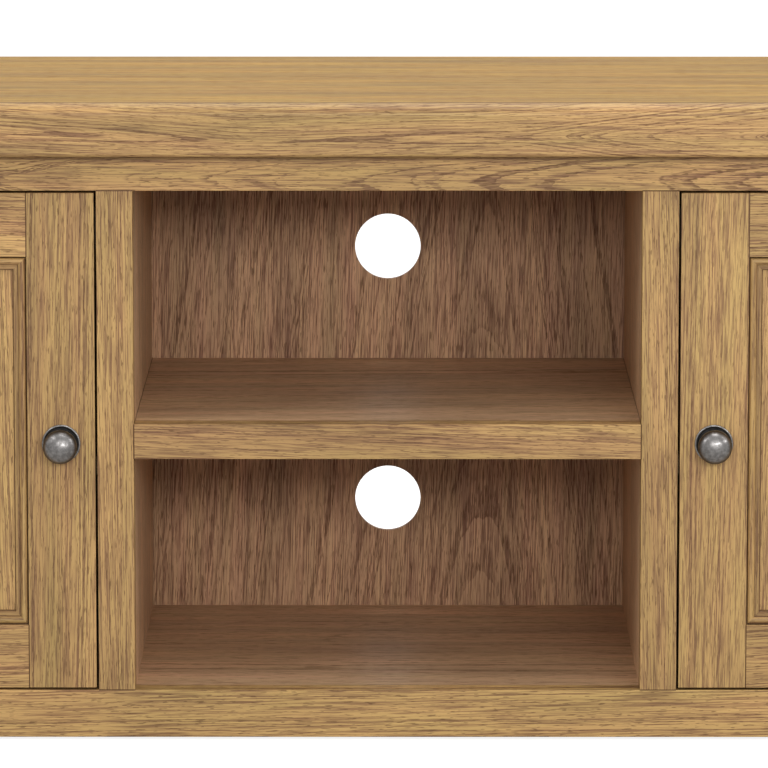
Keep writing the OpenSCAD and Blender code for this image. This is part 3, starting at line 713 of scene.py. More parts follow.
def rings_group():
    """Growth rings around the heart of the log, with pores, flecks and slow changes of tone."""
    tree, w, source, sink = new_group(
        "Oak rings",
        [("Grain", VECTOR, None), ("Rise", FLOAT, 0.0), ("Ring gap", FLOAT, 0.0045),
         ("Wander", FLOAT, 0.012), ("Pore length", FLOAT, 0.011), ("Band", FLOAT, 0.6)],
        [("Early wood", FLOAT), ("Pores", FLOAT), ("Flecks", FLOAT), ("Tone", FLOAT),
         ("Streaks", FLOAT), ("Rosiness", FLOAT)],
    )
    grain = source["Grain"]

    def pattern(name, detail=2.0, roughness=0.5):
        return w.noise(w.stretch(grain, SCALES[name]), detail=detail, roughness=roughness).outputs

    part = w.node("ShaderNodeSeparateXYZ")
    w.feed(part.inputs[0], grain)
    drift = w.node("ShaderNodeSeparateColor")
    w.feed(drift.inputs[0], pattern("drift")["Color"])
    sides = []
    for axis, channel in (("Y", "Red"), ("Z", "Green")):
        sides.append(w.plus(part.outputs[axis], w.centred(drift.outputs[channel], source["Wander"])))
    square = w.plus(w.times(sides[0], sides[0]), w.times(sides[1], sides[1]))
    ragged = w.centred(pattern("ragged", detail=3.0, roughness=0.6)["Fac"], RAGGED_DEPTH)
    distance = w.plus(w.plus(w.math("SQRT", square), source["Rise"]), ragged)
    even = w.math("DIVIDE", distance, source["Ring gap"])
    seasons = w.node("ShaderNodeTexNoise", noise_dimensions="1D")
    w.feed(seasons.inputs["W"], w.times(even, SEASON_PACE))
    turns = w.plus(even, w.times(seasons.outputs["Fac"], SEASON_SWING))
    phase = w.math("FRACT", turns)
    fade = w.span(phase, 0.10, source["Band"], 1.0, 0.0)
    start = w.span(phase, 0.0, w.times(source["Band"], 0.14))
    strength = w.node("ShaderNodeTexWhiteNoise", noise_dimensions="1D")
    w.feed(strength.inputs["W"], w.math("FLOOR", turns))
    bold = w.span(strength.outputs["Value"], 0.0, 1.0, *RING_STRENGTH)
    early = w.times(w.times(fade, start), bold)
    w.feed(sink["Early wood"], early)

    scale = w.node("ShaderNodeCombineXYZ")
    w.feed(scale.inputs[0], w.math("DIVIDE", 1.0, source["Pore length"]))
    w.feed(scale.inputs[1], PORES_ACROSS)
    w.feed(scale.inputs[2], PORES_ACROSS)
    speck = w.noise(w.stretch(grain, scale.outputs[0]), detail=1.0).outputs["Fac"]
    edge = w.minus(PORE_EDGE, w.times(early, PORE_EARLY))
    w.feed(sink["Pores"], w.span(w.minus(speck, edge), 0.0, PORE_RIM))

    lean = w.node("ShaderNodeVectorRotate", rotation_type="Z_AXIS")
    w.feed(lean.inputs["Vector"], grain)
    w.feed(lean.inputs["Angle"], FLAKE_LEAN)
    flake = w.noise(w.stretch(lean.outputs[0], SCALES["flakes"]), detail=1.5).outputs["Fac"]
    patch = pattern("flake patches", detail=1.0)["Fac"]
    w.feed(sink["Flecks"], w.times(w.span(flake, 0.60, 0.68), w.span(patch, 0.42, 0.60)))

    w.feed(sink["Tone"], pattern("tone", detail=3.0)["Fac"])
    w.feed(sink["Rosiness"], pattern("rosiness")["Fac"])
    thin = w.span(pattern("thin streaks", roughness=0.6)["Fac"], 0.32, 0.68)
    broad = pattern("broad streaks")["Fac"]
    w.feed(sink["Streaks"], w.plus(w.times(thin, THIN_SHARE), w.times(broad, BROAD_SHARE)))
    return tree


# How far along from late to early wood a plain patch lies
PLAIN_WOOD = 0.26
# How much the slow changes of tone, and then a board's own tone, change the brightness
SLOW_TONE = 0.55
TONE_SWING = 2.0
# How much a board's warmth and its rosy patches turn the hue
WARMTH_TURN = 0.10
ROSY_TURN = 0.030
# How fully pores, ray flecks, and dark joints together with painted shade cover the wood
PORE_COVER = 0.62
FLECK_COVER = 0.5
DARK_MARK_AND_SHADE_COVER = 0.9


def timber_group():
    """The colour, gloss and height of lacquered oak."""
    tree, w, source, sink = new_group(
        "Lacquered oak",
        [("Grain", VECTOR, None), ("Rise", FLOAT, 0.0), ("Board", COLOUR, (0.5, 0.5, 0, 1)),
         ("Pore strength", FLOAT, 1.0), ("Joint", FLOAT, 0.0),
         ("Pale", COLOUR, (0.4, 0.24, 0.1, 1)), ("Deep", COLOUR, (0.22, 0.11, 0.04, 1)),
         ("Pore", COLOUR, (0.1, 0.04, 0.02, 1)), ("Ring gap", FLOAT, 0.0045), ("Wander", FLOAT, 0.012),
         ("Pore length", FLOAT, 0.011), ("Ring contrast", FLOAT, 0.6), ("Band", FLOAT, 0.6),
         ("Streakiness", FLOAT, 2.4), ("Base roughness", FLOAT, 0.42)],
        [("Colour", COLOUR), ("Roughness", FLOAT), ("Height", FLOAT)],
    )
    figure = w.group("Oak rings")
    for label in ("Grain", "Rise", "Ring gap", "Wander", "Pore length", "Band"):
        w.feed(figure.inputs[label], source[label])
    own = w.node("ShaderNodeSeparateColor")
    w.feed(own.inputs[0], source["Board"])
    early = w.times(figure.outputs["Early wood"], source["Ring contrast"])
    streaky = w.centred(figure.outputs["Streaks"], source["Streakiness"])
    drawn = w.plus(w.plus(early, streaky), PLAIN_WOOD, clamp=True)
    body = w.mix(drawn, source["Pale"], source["Deep"])
    slow = w.minus(figure.outputs["Tone"], 0.5)
    level = w.plus(w.times(slow, SLOW_TONE), w.minus(own.outputs["Red"], 0.5))
    shade = w.node("ShaderNodeHueSaturation")
    warmth = w.centred(own.outputs["Green"], WARMTH_TURN)
    rosy = w.centred(figure.outputs["Rosiness"], ROSY_TURN)
    w.feed(shade.inputs["Hue"], w.minus(0.5, w.plus(warmth, rosy)))
    w.feed(shade.inputs["Value"], w.plus(w.times(level, TONE_SWING), 1.0))
    w.feed(shade.inputs["Color"], body)
    pored = w.times(figure.outputs["Pores"], source["Pore strength"], clamp=True)
    tinted = w.mix(w.times(pored, PORE_COVER), shade.outputs[0], source["Pore"])
    flecked = w.times(figure.outputs["Flecks"], own.outputs["Blue"])
    pale = w.mix(w.times(flecked, FLECK_COVER), tinted, source["Pale"])
    # Darkens toward the pore colour at dark joints and glue lines, and where shade is painted
    w.feed(sink["Colour"], w.mix(w.times(source["Joint"], DARK_MARK_AND_SHADE_COVER), pale, source["Pore"]))
    rough = w.plus(source["Base roughness"], w.times(pored, 0.18))
    w.feed(sink["Roughness"], w.plus(rough, w.times(slow, 0.12)))
    w.feed(sink["Height"], w.minus(1.0, w.plus(w.times(pored, 0.7), w.times(early, 0.2))))
    return tree


# How far each stave is cut from the next: along the log, and at most across it both ways
STAVE_STEP = 2.3
STAVE_SHIFTS = ((1, "Y", "Red", 0.13), (2, "Z", "Green", 0.05))


def staves_group():
    """Moves the grain on by a different amount in each stave of the top, and marks the glue lines."""
    tree, w, source, sink = new_group(
        "Staves",
        [("Grain", VECTOR, None), ("Width", FLOAT, 0.142), ("Offset", FLOAT, 0.0)],
        [("Grain", VECTOR), ("Glue line", FLOAT)],
    )
    part = w.node("ShaderNodeSeparateXYZ")
    w.feed(part.inputs[0], source["Grain"])
    across = w.math("DIVIDE", w.plus(part.outputs["Y"], source["Offset"]), source["Width"])
    stave = w.math("FLOOR", across)
    random = w.node("ShaderNodeTexWhiteNoise", noise_dimensions="1D")
    w.feed(random.inputs["W"], stave)
    split = w.node("ShaderNodeSeparateColor")
    w.feed(split.inputs[0], random.outputs["Color"])
    moved = w.node("ShaderNodeCombineXYZ")
    w.feed(moved.inputs[0], w.plus(part.outputs["X"], w.times(stave, STAVE_STEP)))
    for index, axis, channel, most in STAVE_SHIFTS:
        w.feed(moved.inputs[index], w.plus(part.outputs[axis], w.times(split.outputs[channel], most)))
    w.feed(sink["Grain"], moved.outputs[0])
    inside = w.math("PINGPONG", w.minus(across, stave), 0.5)
    w.feed(sink["Glue line"], w.span(inside, 0.004, 0.012, 1.0, 0.0))
    return tree


def new_material(name):
    """An empty material with its wiring and its shader."""
    material = bpy.data.materials.new(name + "_finish")
    material.use_nodes = True
    wires = Wiring(material.node_tree)
    shader = material.node_tree.nodes["Principled BSDF"]
    return material, wires, shader


def raise_surface(w, shader, height, strength, distance):
    """Feeds a height to a shader's normal through a bump."""
    bump = w.node("ShaderNodeBump")
    bump.inputs["Strength"].default_value = strength
    bump.inputs["Distance"].default_value = distance
    w.feed(bump.inputs["Height"], height)
    w.feed(shader.inputs["Normal"], bump.outputs["Normal"])


# Each kind of oak: the settings with its three colours, its sheen, and how it grew
TIMBERS = {
    "oak": {
        "colours": ("oak_pale", "oak_deep", "oak_pore"), "sheen": 0.3,
        "growth": {"Ring gap": 3.2 * MM, "Wander": 12 * MM, "Ring contrast": 0.80,
                   "Pore length": 9 * MM, "Band": 0.5, "Streakiness": 2.6},
    },
    "oak_top": {
        "colours": ("top_pale", "top_deep", "top_pore"), "sheen": 0.12, "staved": True,
        "growth": {"Ring gap": 9 * MM, "Wander": 5 * MM, "Ring contrast": 0.6,
                   "Pore length": 16 * MM, "Band": 0.6, "Streakiness": 2.2},
    },
    "oak_inside": {
        "colours": ("inside_pale", "inside_deep", "oak_pore"), "sheen": 0.2,
        "growth": {"Ring gap": 6 * MM, "Wander": 8 * MM, "Ring contrast": 0.3,
                   "Pore length": 14 * MM, "Band": 0.6, "Streakiness": 2.2},
    },
    "oak_back": {
        "colours": ("back_pale", "back_deep", "oak_pore"), "sheen": 0.2,
        "growth": {"Ring gap": 9 * MM, "Wander": 30 * MM, "Ring contrast": 0.48,
                   "Pore length": 12 * MM, "Band": 0.95, "Streakiness": 3.2},
    },
}
LACQUER_WEIGHT = 0.04
LACQUER_ROUGHNESS = 0.35
TIMBER_BUMP = (0.35, 0.15 * MM)
GLUE_LINE = 0.5


def timber(name, look, colours, sheen, growth, staved=False):
    """A material for one kind of oak board."""
    material, w, shader = new_material(name)
    node = w.group("Lacquered oak")
    grain = w.attribute("grain").outputs["Vector"]
    # The mark of dark joints and glue lines, which also carries painted shade below the top's overhang and
    # in the mouldings' quirks
    joint = w.attribute("joint").outputs["Fac"]
    if staved:
        staves = w.group("Staves")
        w.feed(staves.inputs["Grain"], grain)
        grain = staves.outputs["Grain"]
        joint = w.math("MAXIMUM", joint, w.times(staves.outputs["Glue line"], GLUE_LINE))
    own = w.attribute("board")
    values = {
        "Grain": grain, "Rise": w.attribute("rise").outputs["Fac"], "Board": own.outputs["Color"],
        "Pore strength": own.outputs["Alpha"], "Joint": joint, **growth,
    }
    for label, setting in zip(("Pale", "Deep", "Pore"), colours):
        values[label] = (*getattr(look, setting), 1)
    for label, value in values.items():
        w.feed(node.inputs[label], value)
    w.feed(shader.inputs["Base Color"], node.outputs["Colour"])
    w.feed(shader.inputs["Roughness"], node.outputs["Roughness"])
    shader.inputs["Coat Weight"].default_value = LACQUER_WEIGHT
    shader.inputs["Coat Roughness"].default_value = LACQUER_ROUGHNESS
    shader.inputs["Specular IOR Level"].default_value = sheen
    raise_surface(w, shader, node.outputs["Height"], *TIMBER_BUMP)
    return material


def cast_group():
    """Mottling and fine pits, for metal and moulded plastic."""
    tree, w, source, sink = new_group(
        "Mottling",
        [("Size", FLOAT, 0.002), ("Pit size", FLOAT, 0.0006)],
        [("Mottle", FLOAT), ("Pits", FLOAT), ("Height", FLOAT)],
    )
    place = w.node("ShaderNodeTexCoord").outputs["Object"]
    mottle = w.noise(place, scale=w.math("DIVIDE", 1.0, source["Size"]), detail=3.0).outputs["Fac"]
    pits = w.noise(place, scale=w.math("DIVIDE", 1.0, source["Pit size"]), detail=2.0).outputs["Fac"]
    w.feed(sink["Mottle"], w.span(mottle, 0.32, 0.68))
    w.feed(sink["Pits"], w.span(pits, 0.52, 0.66))
    w.feed(sink["Height"], w.plus(w.times(mottle, 0.6), w.times(pits, 0.4)))
    return tree


# Each metal and the plastic: how metallic and rough it is, the size of its mottling and pits,
# the strength of its bump, and how dark its pits are
CASTINGS = {
    "pewter": (0.95, 0.33, 3.0 * MM, 0.5 * MM, 0.05, 0.12),
    "brass": (1.0, 0.30, 6 * MM, 0.8 * MM, 0.10, 0.3),
    "steel": (1.0, 0.34, 5 * MM, 0.7 * MM, 0.10, 0.3),
    "plastic": (0.0, 0.48, 8 * MM, 0.5 * MM, 0.20, 0.4),
}
CASTING_BUMP = 0.1 * MM
# The share of its colour that is left in the hollows, and the share left where patina has gathered and
# where a dark reflection is painted
HOLLOW_SHARES = {"brass": 0.6, "steel": 0.7, "plastic": 0.75}
PATINA_AND_REFLECTION_SHARE = 0.12


def cast(name, light, dark):
    """A metal or plastic material with mottling and pits."""
    metallic, roughness, size, pit_size, strength, pit_depth = CASTINGS[name]
    material, w, shader = new_material(name)
    node = w.group("Mottling")
    node.inputs["Size"].default_value = size
    node.inputs["Pit size"].default_value = pit_size
    body = w.mix(node.outputs["Mottle"], (*dark, 1), (*light, 1))
    pitted = w.mix(w.times(node.outputs["Pits"], pit_depth), body, (*dark, 1))
    patina_and_reflection = (*(PATINA_AND_REFLECTION_SHARE * c for c in dark), 1)
    # Patina in the knobs' hollows, and a painted dark reflection around the edge of each knob's crown
    w.feed(shader.inputs["Base Color"], w.mix(w.attribute("joint").outputs["Fac"], pitted, patina_and_reflection))
    gloss = w.span(node.outputs["Mottle"], 0.0, 1.0, roughness + 0.10, roughness - 0.05)
    w.feed(shader.inputs["Roughness"], gloss)
    shader.inputs["Metallic"].default_value = metallic
    raise_surface(w, shader, node.outputs["Height"], strength, CASTING_BUMP)
    return material


def finish_of(slot):
    """The material made for one of the record's slots."""
    return bpy.data.materials[slot + "_finish"]


# ------------------------------------------------------------------ operators


class CABINET_OT_finishes(bpy.types.Operator):
    """Makes the materials"""

    bl_idname = "cabinet.finishes"
    bl_label = "Finishes"

    def execute(self, context):
        look = context.scene.cabinet_finish
        rings_group()
        timber_group()
        staves_group()
        cast_group()
        for name, values in TIMBERS.items():
            timber(name, look, **values)
        cast("pewter", look.pewter_light, look.pewter_dark)
        for name, share in HOLLOW_SHARES.items():
            light = getattr(look, name)
            cast(name, light, tuple(share * c for c in light))
        for name, node in NODES.items():
            node.data.materials.clear()
            node.data.materials.append(finish_of(NODE_FINISH.get(name, "oak")))
        return {"FINISHED"}


NODE_FINISH = {
    "shelf_pins": "steel", "top_screws": "steel", "back_panel_screws": "steel",
    "floor_glides": "plastic", "magnetic_catches": "plastic",
    "frame_hinge_leaves": "brass", "hinge_pins": "brass", "frame_screws": "brass",
}
for side in SIDES:
    NODE_FINISH[f"{side}_knob_screw"] = NODE_FINISH[f"{side}_strike_plate"] = "steel"
    NODE_FINISH[f"{side}_door_hinge_leaves"] = NODE_FINISH[f"{side}_door_screws"] = "brass"
    NODE_FINISH[f"{side}_knob"] = NODE_FINISH[f"{side}_knob_rose"] = "pewter"


# The stain along the joint between the edging and the boards of the top: its width, and how dark
JOINT_STAIN = 4.0 * MM
STAIN_DEPTH = 0.85
# The axis across each length of edging, and which way its outer side faces along it
EDGING_SIDES = {"edging_front": (1, -1), "edging_left": (0, -1), "edging_right": (0, 1)}
# The first numbers of the edging and of the mouldings, which place their grain in the log
FIRST_EDGING = 60
FIRST_MOULDING = 70


class CABINET_OT_top(bpy.types.Operator):
    """Makes the top: glued-up boards with a mitred edging"""

    bl_idname = "cabinet.top"
    bl_label = "Top"

    def execute(self, context):
        sizes = context.scene.cabinet_sizes
        lay_boards(TOP, "oak_top", sizes.arris)
        low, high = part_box("top_edging")
        for number, (name, (near, far)) in enumerate(edging_boxes().items()):
            self.strip(name, near[:2], far[:2], low, high, sizes, number)
        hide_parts("top_edging")
        return {"FINISHED"}

    def strip(self, name, near, far, low, high, sizes, number):
        """One length of edging, rounded along its outer edges and mitred at the front corners."""
        deselect()
        bpy.ops.mesh.primitive_cube_add(
            size=1,
            location=((near[0] + far[0]) / 2, (near[1] + far[1]) / 2, (low.z + high.z) / 2),
            scale=(far[0] - near[0], far[1] - near[1], high.z - low.z),
        )
        piece = settle(new_piece(name))
        edit(piece)
        index, outwards = EDGING_SIDES[name]
        inner, outer = (far[index], near[index]) if outwards < 0 else (near[index], far[index])

        def runs_along(side, level):
            return lambda edge: all(
                abs(v.co[index] - side) < FLUSH and abs(v.co.z - level) < FLUSH for v in edge.verts
            )

        for side, level, radius, steps in (
            (outer, high.z, sizes.top_radius, 10),
            (outer, low.z, sizes.under_radius, 5),
            (inner, high.z, sizes.arris, 2),
        ):
            pick(piece, "EDGE", runs_along(side, level))
            bpy.ops.mesh.bevel(offset=radius, segments=steps, affect="EDGES", clamp_overlap=False)
        for corner, sign in ((low.x, 1), (high.x, -1)):
            if name == "edging_left" and sign < 0 or name == "edging_right" and sign > 0:
                continue
            away = Vector((-sign, 1, 0)) if name == "edging_front" else Vector((sign, -1, 0))
            bpy.ops.mesh.select_all(action="SELECT")
            bpy.ops.mesh.bisect(
                plane_co=(corner, low.y, low.z), plane_no=away, use_fill=True, clear_outer=True
            )
        run = 1 - index
        for i in range(1, sizes.edging_steps):
            slice_at(run, low[run] + (high[run] - low[run]) * i / sizes.edging_steps)
        slice_at(index, inner + outwards * JOINT_STAIN)
        merge_and_face_out()
        smooth(piece, 20)
        weigh_normals(piece)

        def depth_of(face):
            close = abs(face.center[index] - inner) < JOINT_STAIN
            return STAIN_DEPTH if face.normal.z > 0.1 and close else 0.0

        mark_faces(piece, depth_of)
        figure = EDGING_FIGURES[name]
        lay_grain(piece, figure, (*near, low.z), (*far, high.z), FIRST_EDGING + number)
        finish_piece(piece, finish_of("oak"), "oak", "cabinet")


EDGING_FIGURES = {
    "edging_front": Figure("x", "-y", depth=(0.005, 0.004, 0.005, 0.0025, 0.003, 0.004),
                           sway=(0.006, -0.002, 0.009, 0.005, 0.004, 0.002),
                           rise=(0.0, 0.005, 0.012, 0.010, -0.030, -0.064), tone=0.03, pores=1.2,
                           tightness=1.3),
    "edging_left": Figure("y", "-x", depth=(0.02,), sway=(0.05, 0.045)),
    "edging_right": Figure("y", "x", depth=(0.02,), sway=(-0.05, -0.045)),
}


class CABINET_OT_face_frame(bpy.types.Operator):
    """Makes the face frame: posts, rails, centre stiles and the front of the shelf"""

    bl_idname = "cabinet.face_frame"
    bl_label = "Face Frame"

    def execute(self, context):
        lay_boards(FACE_FRAME, "oak", context.scene.cabinet_sizes.arris)
        return {"FINISHED"}


class CABINET_OT_end_frames(bpy.types.Operator):
    """Makes the framed ends and the rear posts"""

    bl_idname = "cabinet.end_frames"
    bl_label = "End Frames"

    def execute(self, context):
        lay_boards(END_FRAMES, "oak", context.scene.cabinet_sizes.arris)
        return {"FINISHED"}


class CABINET_OT_inside(bpy.types.Operator):
    """Makes the dividers, the base, the shelves and the rear rails"""

    bl_idname = "cabinet.inside"
    bl_label = "Inside"

    def execute(self, context):
        lay_boards(INSIDE, "oak_inside", context.scene.cabinet_sizes.arris)
        return {"FINISHED"}


class CABINET_OT_back(bpy.types.Operator):
    """Makes the three back panels"""

    bl_idname = "cabinet.back"
    bl_label = "Back Panels"

    def execute(self, context):
        lay_boards(BACK, "oak_back", context.scene.cabinet_sizes.arris)
        return {"FINISHED"}


class CABINET_OT_doors(bpy.types.Operator):
    """Makes the stiles, rails and panels of both doors"""

    bl_idname = "cabinet.doors"
    bl_label = "Doors"

    def execute(self, context):
        lay_boards(DOORS, "oak", context.scene.cabinet_sizes.arris)
        return {"FINISHED"}


# Section of the moulding: distance in from the frame, and height above the panel
BEAD_CENTRE = (4.1, 4.4)
MOULDING_SECTION = (
    [(0.0, 0.0), (0.0, 3.4), (0.7, 3.4)]
    + arc(BEAD_CENTRE, 3.1, 190, -8, 14)
    + [(7.4, 3.9), (10.9, 3.9), (11.2, 3.6), (11.2, 0.9), (11.8, 0.9), (12.0, 0.7), (12.0, 0.0)]
)
MOULDING_WIDTH = 12 * MM
MOULDING_HEIGHT = 7.5 * MM
# Painted shade in the quirks and steps of the moulding, and a slightly darker flat between them: from and
# to, across the moulding, and how dark it is there
MOULDING_SHADES = ((-0.1, 1.2, 1.0), (7.05, 7.5, 0.9), (7.5, 10.85, 0.22), (10.85, 12.1, 0.85))


class CABINET_OT_mouldings(bpy.types.Operator):
    """Makes the mitred mouldings around the door panels"""

    bl_idname = "cabinet.mouldings"
    bl_label = "Mouldings"

    def execute(self, context):
        for side in SIDES:
            node = side + "_door_moulding"
            low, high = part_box(node)
            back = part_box(side + "_door_panel")[0].y
            corners = [(low.x, low.z), (high.x, low.z), (high.x, high.z), (low.x, high.z)]
            for number in range(4):
                start = Vector((corners[number][0], 0, corners[number][1]))
                end = Vector((corners[(number + 1) % 4][0], 0, corners[(number + 1) % 4][1]))
                self.strip(f"{side}_moulding_{number + 1}", start, end, back, number, side)
            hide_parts(node)
        return {"FINISHED"}

    def strip(self, name, start, end, back, number, side):
        """One length of moulding from corner to corner, mitred at both ends."""
        run = end - start
        along = run.normalized()
        inward = along.cross(AXES["y"])
        points = [
            start + inward * (distance * MM) + Vector((0, back - height * MM, 0))
            for distance, height in MOULDING_SECTION
        ]
        piece = outline_face(name, points)
        bpy.ops.mesh.select_all(action="SELECT")
        bpy.ops.mesh.extrude_region_move(TRANSFORM_OT_translate={"value": tuple(run)})
        for place, normal in ((start, inward - along), (end, inward + along)):
            bpy.ops.mesh.select_all(action="SELECT")
            bpy.ops.mesh.bisect(
                plane_co=(place.x, back, place.z), plane_no=normal, use_fill=True, clear_outer=True
            )
        merge_and_face_out()
        smooth(piece, 35)
        weigh_normals(piece)
        low = [min(start[i], end[i], (start + inward * MOULDING_WIDTH)[i]) for i in range(3)]
        high = [max(start[i], end[i], (start + inward * MOULDING_WIDTH)[i]) for i in range(3)]
        low[1], high[1] = back - MOULDING_HEIGHT, back
        axis = "x" if abs(along.x) > 0.5 else "z"
        figure = Figure(axis, "-y", depth=(0.03,), sway=(0.05, 0.052), tone=-0.03, pores=0.8)

        # Paints shade into the quirks and steps, by how far in from the frame a face lies
        def depth_of(face):
            inset = (face.center - start).dot(inward) / MM
            return next((depth for near, far, depth in MOULDING_SHADES if near < inset < far), 0.0)

        mark_faces(piece, depth_of)
        lay_grain(piece, figure, low, high, FIRST_MOULDING + number + 4 * SIDES.index(side))
        finish_piece(piece, finish_of("oak"), "oak", side + "_door")


class CABINET_OT_knobs(bpy.types.Operator):
    """Makes the turned knobs and the roses behind them"""

    bl_idname = "cabinet.knobs"
    bl_label = "Knobs"

    def execute(self, context):
        steps = context.scene.cabinet_sizes.lathe_steps
        for side in SIDES:
            low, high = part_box(side + "_knob_rose")
            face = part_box(side + "_door_lock_stile")[0].y
            place = ((low.x + high.x) / 2, face, (low.z + high.z) / 2)
            for kind, profile in (("knob", KNOB_PROFILE), ("knob_rose", ROSE_PROFILE)):
                profile = [(r * MM, h * MM) for r, h in profile]
                piece = turned(f"{side}_pewter_{kind}", profile, place, (0, -1, 0), steps)
                smooth(piece, 40)
                self.darken(piece, place, RIMS[kind])
                finish_piece(piece, finish_of("pewter"), "pewter", side + "_door", f"{side}_{kind}")
        return {"FINISHED"}

    def darken(self, piece, place, rim):
        """Leaves dark patina in the hollows: on the neck, below the rim, and between rose and knob, and
        paints a dark reflection around the edge of the crown.
        """
        centre = Vector(place)

        def depth_of(point):
            out = centre.y - point.co.y
            radius = Vector((point.co.x - centre.x, point.co.z - centre.z)).length
            # Painted dark reflection, strongest at the edge of the crown
            if out > KNOB_CROWN:
                return np.interp(radius / rim, *CROWN_SHADE)
            return HOLLOW_DEPTH if radius < rim or out > ROSE_TOP else 0.0

        write_points(piece.data, "joint", "FLOAT", "value", [depth_of(v) for v in piece.data.vertices])


# Where patina gathers and the dark reflection is painted: the radius of each rim, and the heights of the
# crown and of the rose
RIMS = {"knob": 14.3 * MM, "knob_rose": 14.4 * MM}
KNOB_CROWN = 20.0 * MM
ROSE_TOP = 4.0 * MM
# How dark the hollows are, and the painted dark reflection on the crown at each share of its rim's radius
HOLLOW_DEPTH = 0.9
CROWN_SHADE = ((0.80, 0.90, 1.0), (0.0, 0.35, 0.9))
# Turned profiles: radius, and height above the face of the door, in millimetres
KNOB_PROFILE = (
    [(0.0, 3.0), (7.5, 3.0), (7.5, 3.6)]
    + oval_arc((7.5, 8.0), (1.5, 4.0), 262, 180, 6)
    + oval_arc((6.0, 20.5), (8.5, 12.5), 285, 356, 14)
    + [(14.5, 20.2)]
    + oval_arc((0.0, 20.6), (14.5, 9.4), 0, 90, 24)
)
ROSE_PROFILE = (
    [(0.0, 0.0), (15.4, 0.0)]
    + arc((15.4, 1.3), 1.1, -80, 150, 14)
    + [(14.2, 1.75), (13.6, 1.7), (9.2, 1.9), (8.9, 2.3)]
    + arc((8.3, 2.5), 0.5, 20, 90, 4)
    + [(0.0, 3.0)]
)


def islands(node):
    """The vertices of each separate solid of a node."""
    mesh = bmesh.new()
    mesh.from_mesh(NODES[node].data)
    bmesh.ops.remove_doubles(mesh, verts=mesh.verts[:], dist=NODE_MERGE)
    found, groups = set(), []
    for first in mesh.verts:
        if first in found:
            continue
        stack, group = [first], []
        found.add(first)
        while stack:
            vertex = stack.pop()
            group.append(vertex.co.copy())
            for link in vertex.link_edges:
                other = link.other_vert(vertex)
                if other not in found:
                    found.add(other)
                    stack.append(other)
        groups.append(group)
    mesh.free()
    return groups


def screw_places(node):
    """Where the head of each screw of a node sits, and which way the screw points."""
    places = []
    for group in islands(node):
        points = np.array([list(p) for p in group])
        spans = points.max(0) - points.min(0)
        index = int(np.argmax(spans))
        centre = (points.max(0) + points.min(0)) / 2
        flat = np.delete(points - centre, index, axis=1)
        radius = np.sqrt((flat**2).sum(1))
        level = points[radius > radius.max() - 1e-5][:, index].mean()
        ends = (points[:, index].min(), points[:, index].max())
        far = max(ends, key=lambda e: abs(e - level))
        centre[index] = level
        direction = [0, 0, 0]
        direction[index] = 1 if far > level else -1
        places.append((Vector(centre), Vector(direction)))
    return places


# Screw profiles: radius, and depth below the rim of the head, in millimetres
COUNTERSUNK = [(0.0, 0.02), (2.9, 0.02), (3.15, 0.12), (1.65, 1.55), (1.55, 12.8), (0.0, 15.8)]
ROUND_HEAD = (
    [(0.0, -2.0), (0.9, -1.93), (1.8, -1.70), (2.6, -1.30), (3.2, -0.75), (3.45, -0.15), (3.45, 0.0)]
    + [(1.55, 0.0), (1.55, 12.8), (0.0, 15.8)]
)


# The length and width of each arm of the cross, how much it narrows at its foot, and the turn
# from one screw to the next, in radians
RECESS = (3.4 * MM, 0.9 * MM)
RECESS_TAPER = (0.45, 0.6, 1)
SCREW_TURN = 0.7
SCREW_STEPS = 24


def cross_screw(name, profile, recess_top, recess_depth):
    """A screw with a cross recess, pointing down -Z from its head."""
    piece = turned(name, [(r * MM, -d * MM) for r, d in profile], (0, 0, 0), (0, 0, 1), SCREW_STEPS)
    cutters = []
    for turn in (0, 90):
        deselect()
        bpy.ops.mesh.primitive_cube_add(size=1, scale=(*RECESS, 2 * recess_depth * MM))
        cutter = settle(new_piece(f"{name}_cutter_{turn}"))
        edit(cutter)
        pick(cutter, "FACE", lambda f: f.normal.z < -0.9)
        bpy.ops.transform.resize(value=RECESS_TAPER, center_override=(0, 0, 0))
        deselect()
        cutter.data.transform(
            Matrix.Translation((0, 0, recess_top * MM)) @ Matrix.Rotation(math.radians(turn), 4, "Z")
        )
        cutters.append(cutter)
    for cutter in cutters:
        only(piece)
        cut = piece.modifiers.new("recess", "BOOLEAN")
        cut.operation = "DIFFERENCE"
        cut.solver = "EXACT"
        cut.object = cutter
        bpy.ops.object.modifier_apply(modifier="recess")
    for cutter in cutters:
        bpy.data.objects.remove(cutter)
    smooth(piece, 30)
    return piece


def copies(pattern, name, places):
    """One piece made of copies of a pattern, each pointing along its own direction."""
    made = []
    for number, (place, direction) in enumerate(places):
        piece = bpy.data.objects.new(f"{name}.{number:03d}", pattern.data.copy())
        bpy.context.scene.collection.objects.link(piece)
        turn = Matrix.Rotation(SCREW_TURN * number, 4, "Z")
        piece.data.transform(place_matrix(place, -direction) @ turn)
        made.append(piece)
    deselect()
    for piece in made:
        piece.select_set(True)
    bpy.context.view_layer.objects.active = made[0]
    bpy.ops.object.join()
    made[0].name = name
    return made[0]


class CABINET_OT_screws(bpy.types.Operator):
    """Makes the cross-headed screws"""

    bl_idname = "cabinet.screws"
    bl_label = "Screws"

    def execute(self, context):
        sunk = cross_screw("sunk_pattern", COUNTERSUNK, -0.02, 1.5)
        domed = cross_screw("domed_pattern", ROUND_HEAD, 1.9, 2.2)
        for node, pattern, finish in (
            ("frame_screws", sunk, "brass"),
            ("left_door_screws", sunk, "brass"),
            ("right_door_screws", sunk, "brass"),
            ("back_panel_screws", domed, "steel"),
        ):
            piece = copies(pattern, node + "_crossed", screw_places(node))
            finish_piece(piece, finish_of(finish), finish, body_of(node), node)
        for pattern in (sunk, domed):
            bpy.data.objects.remove(pattern)
        return {"FINISHED"}


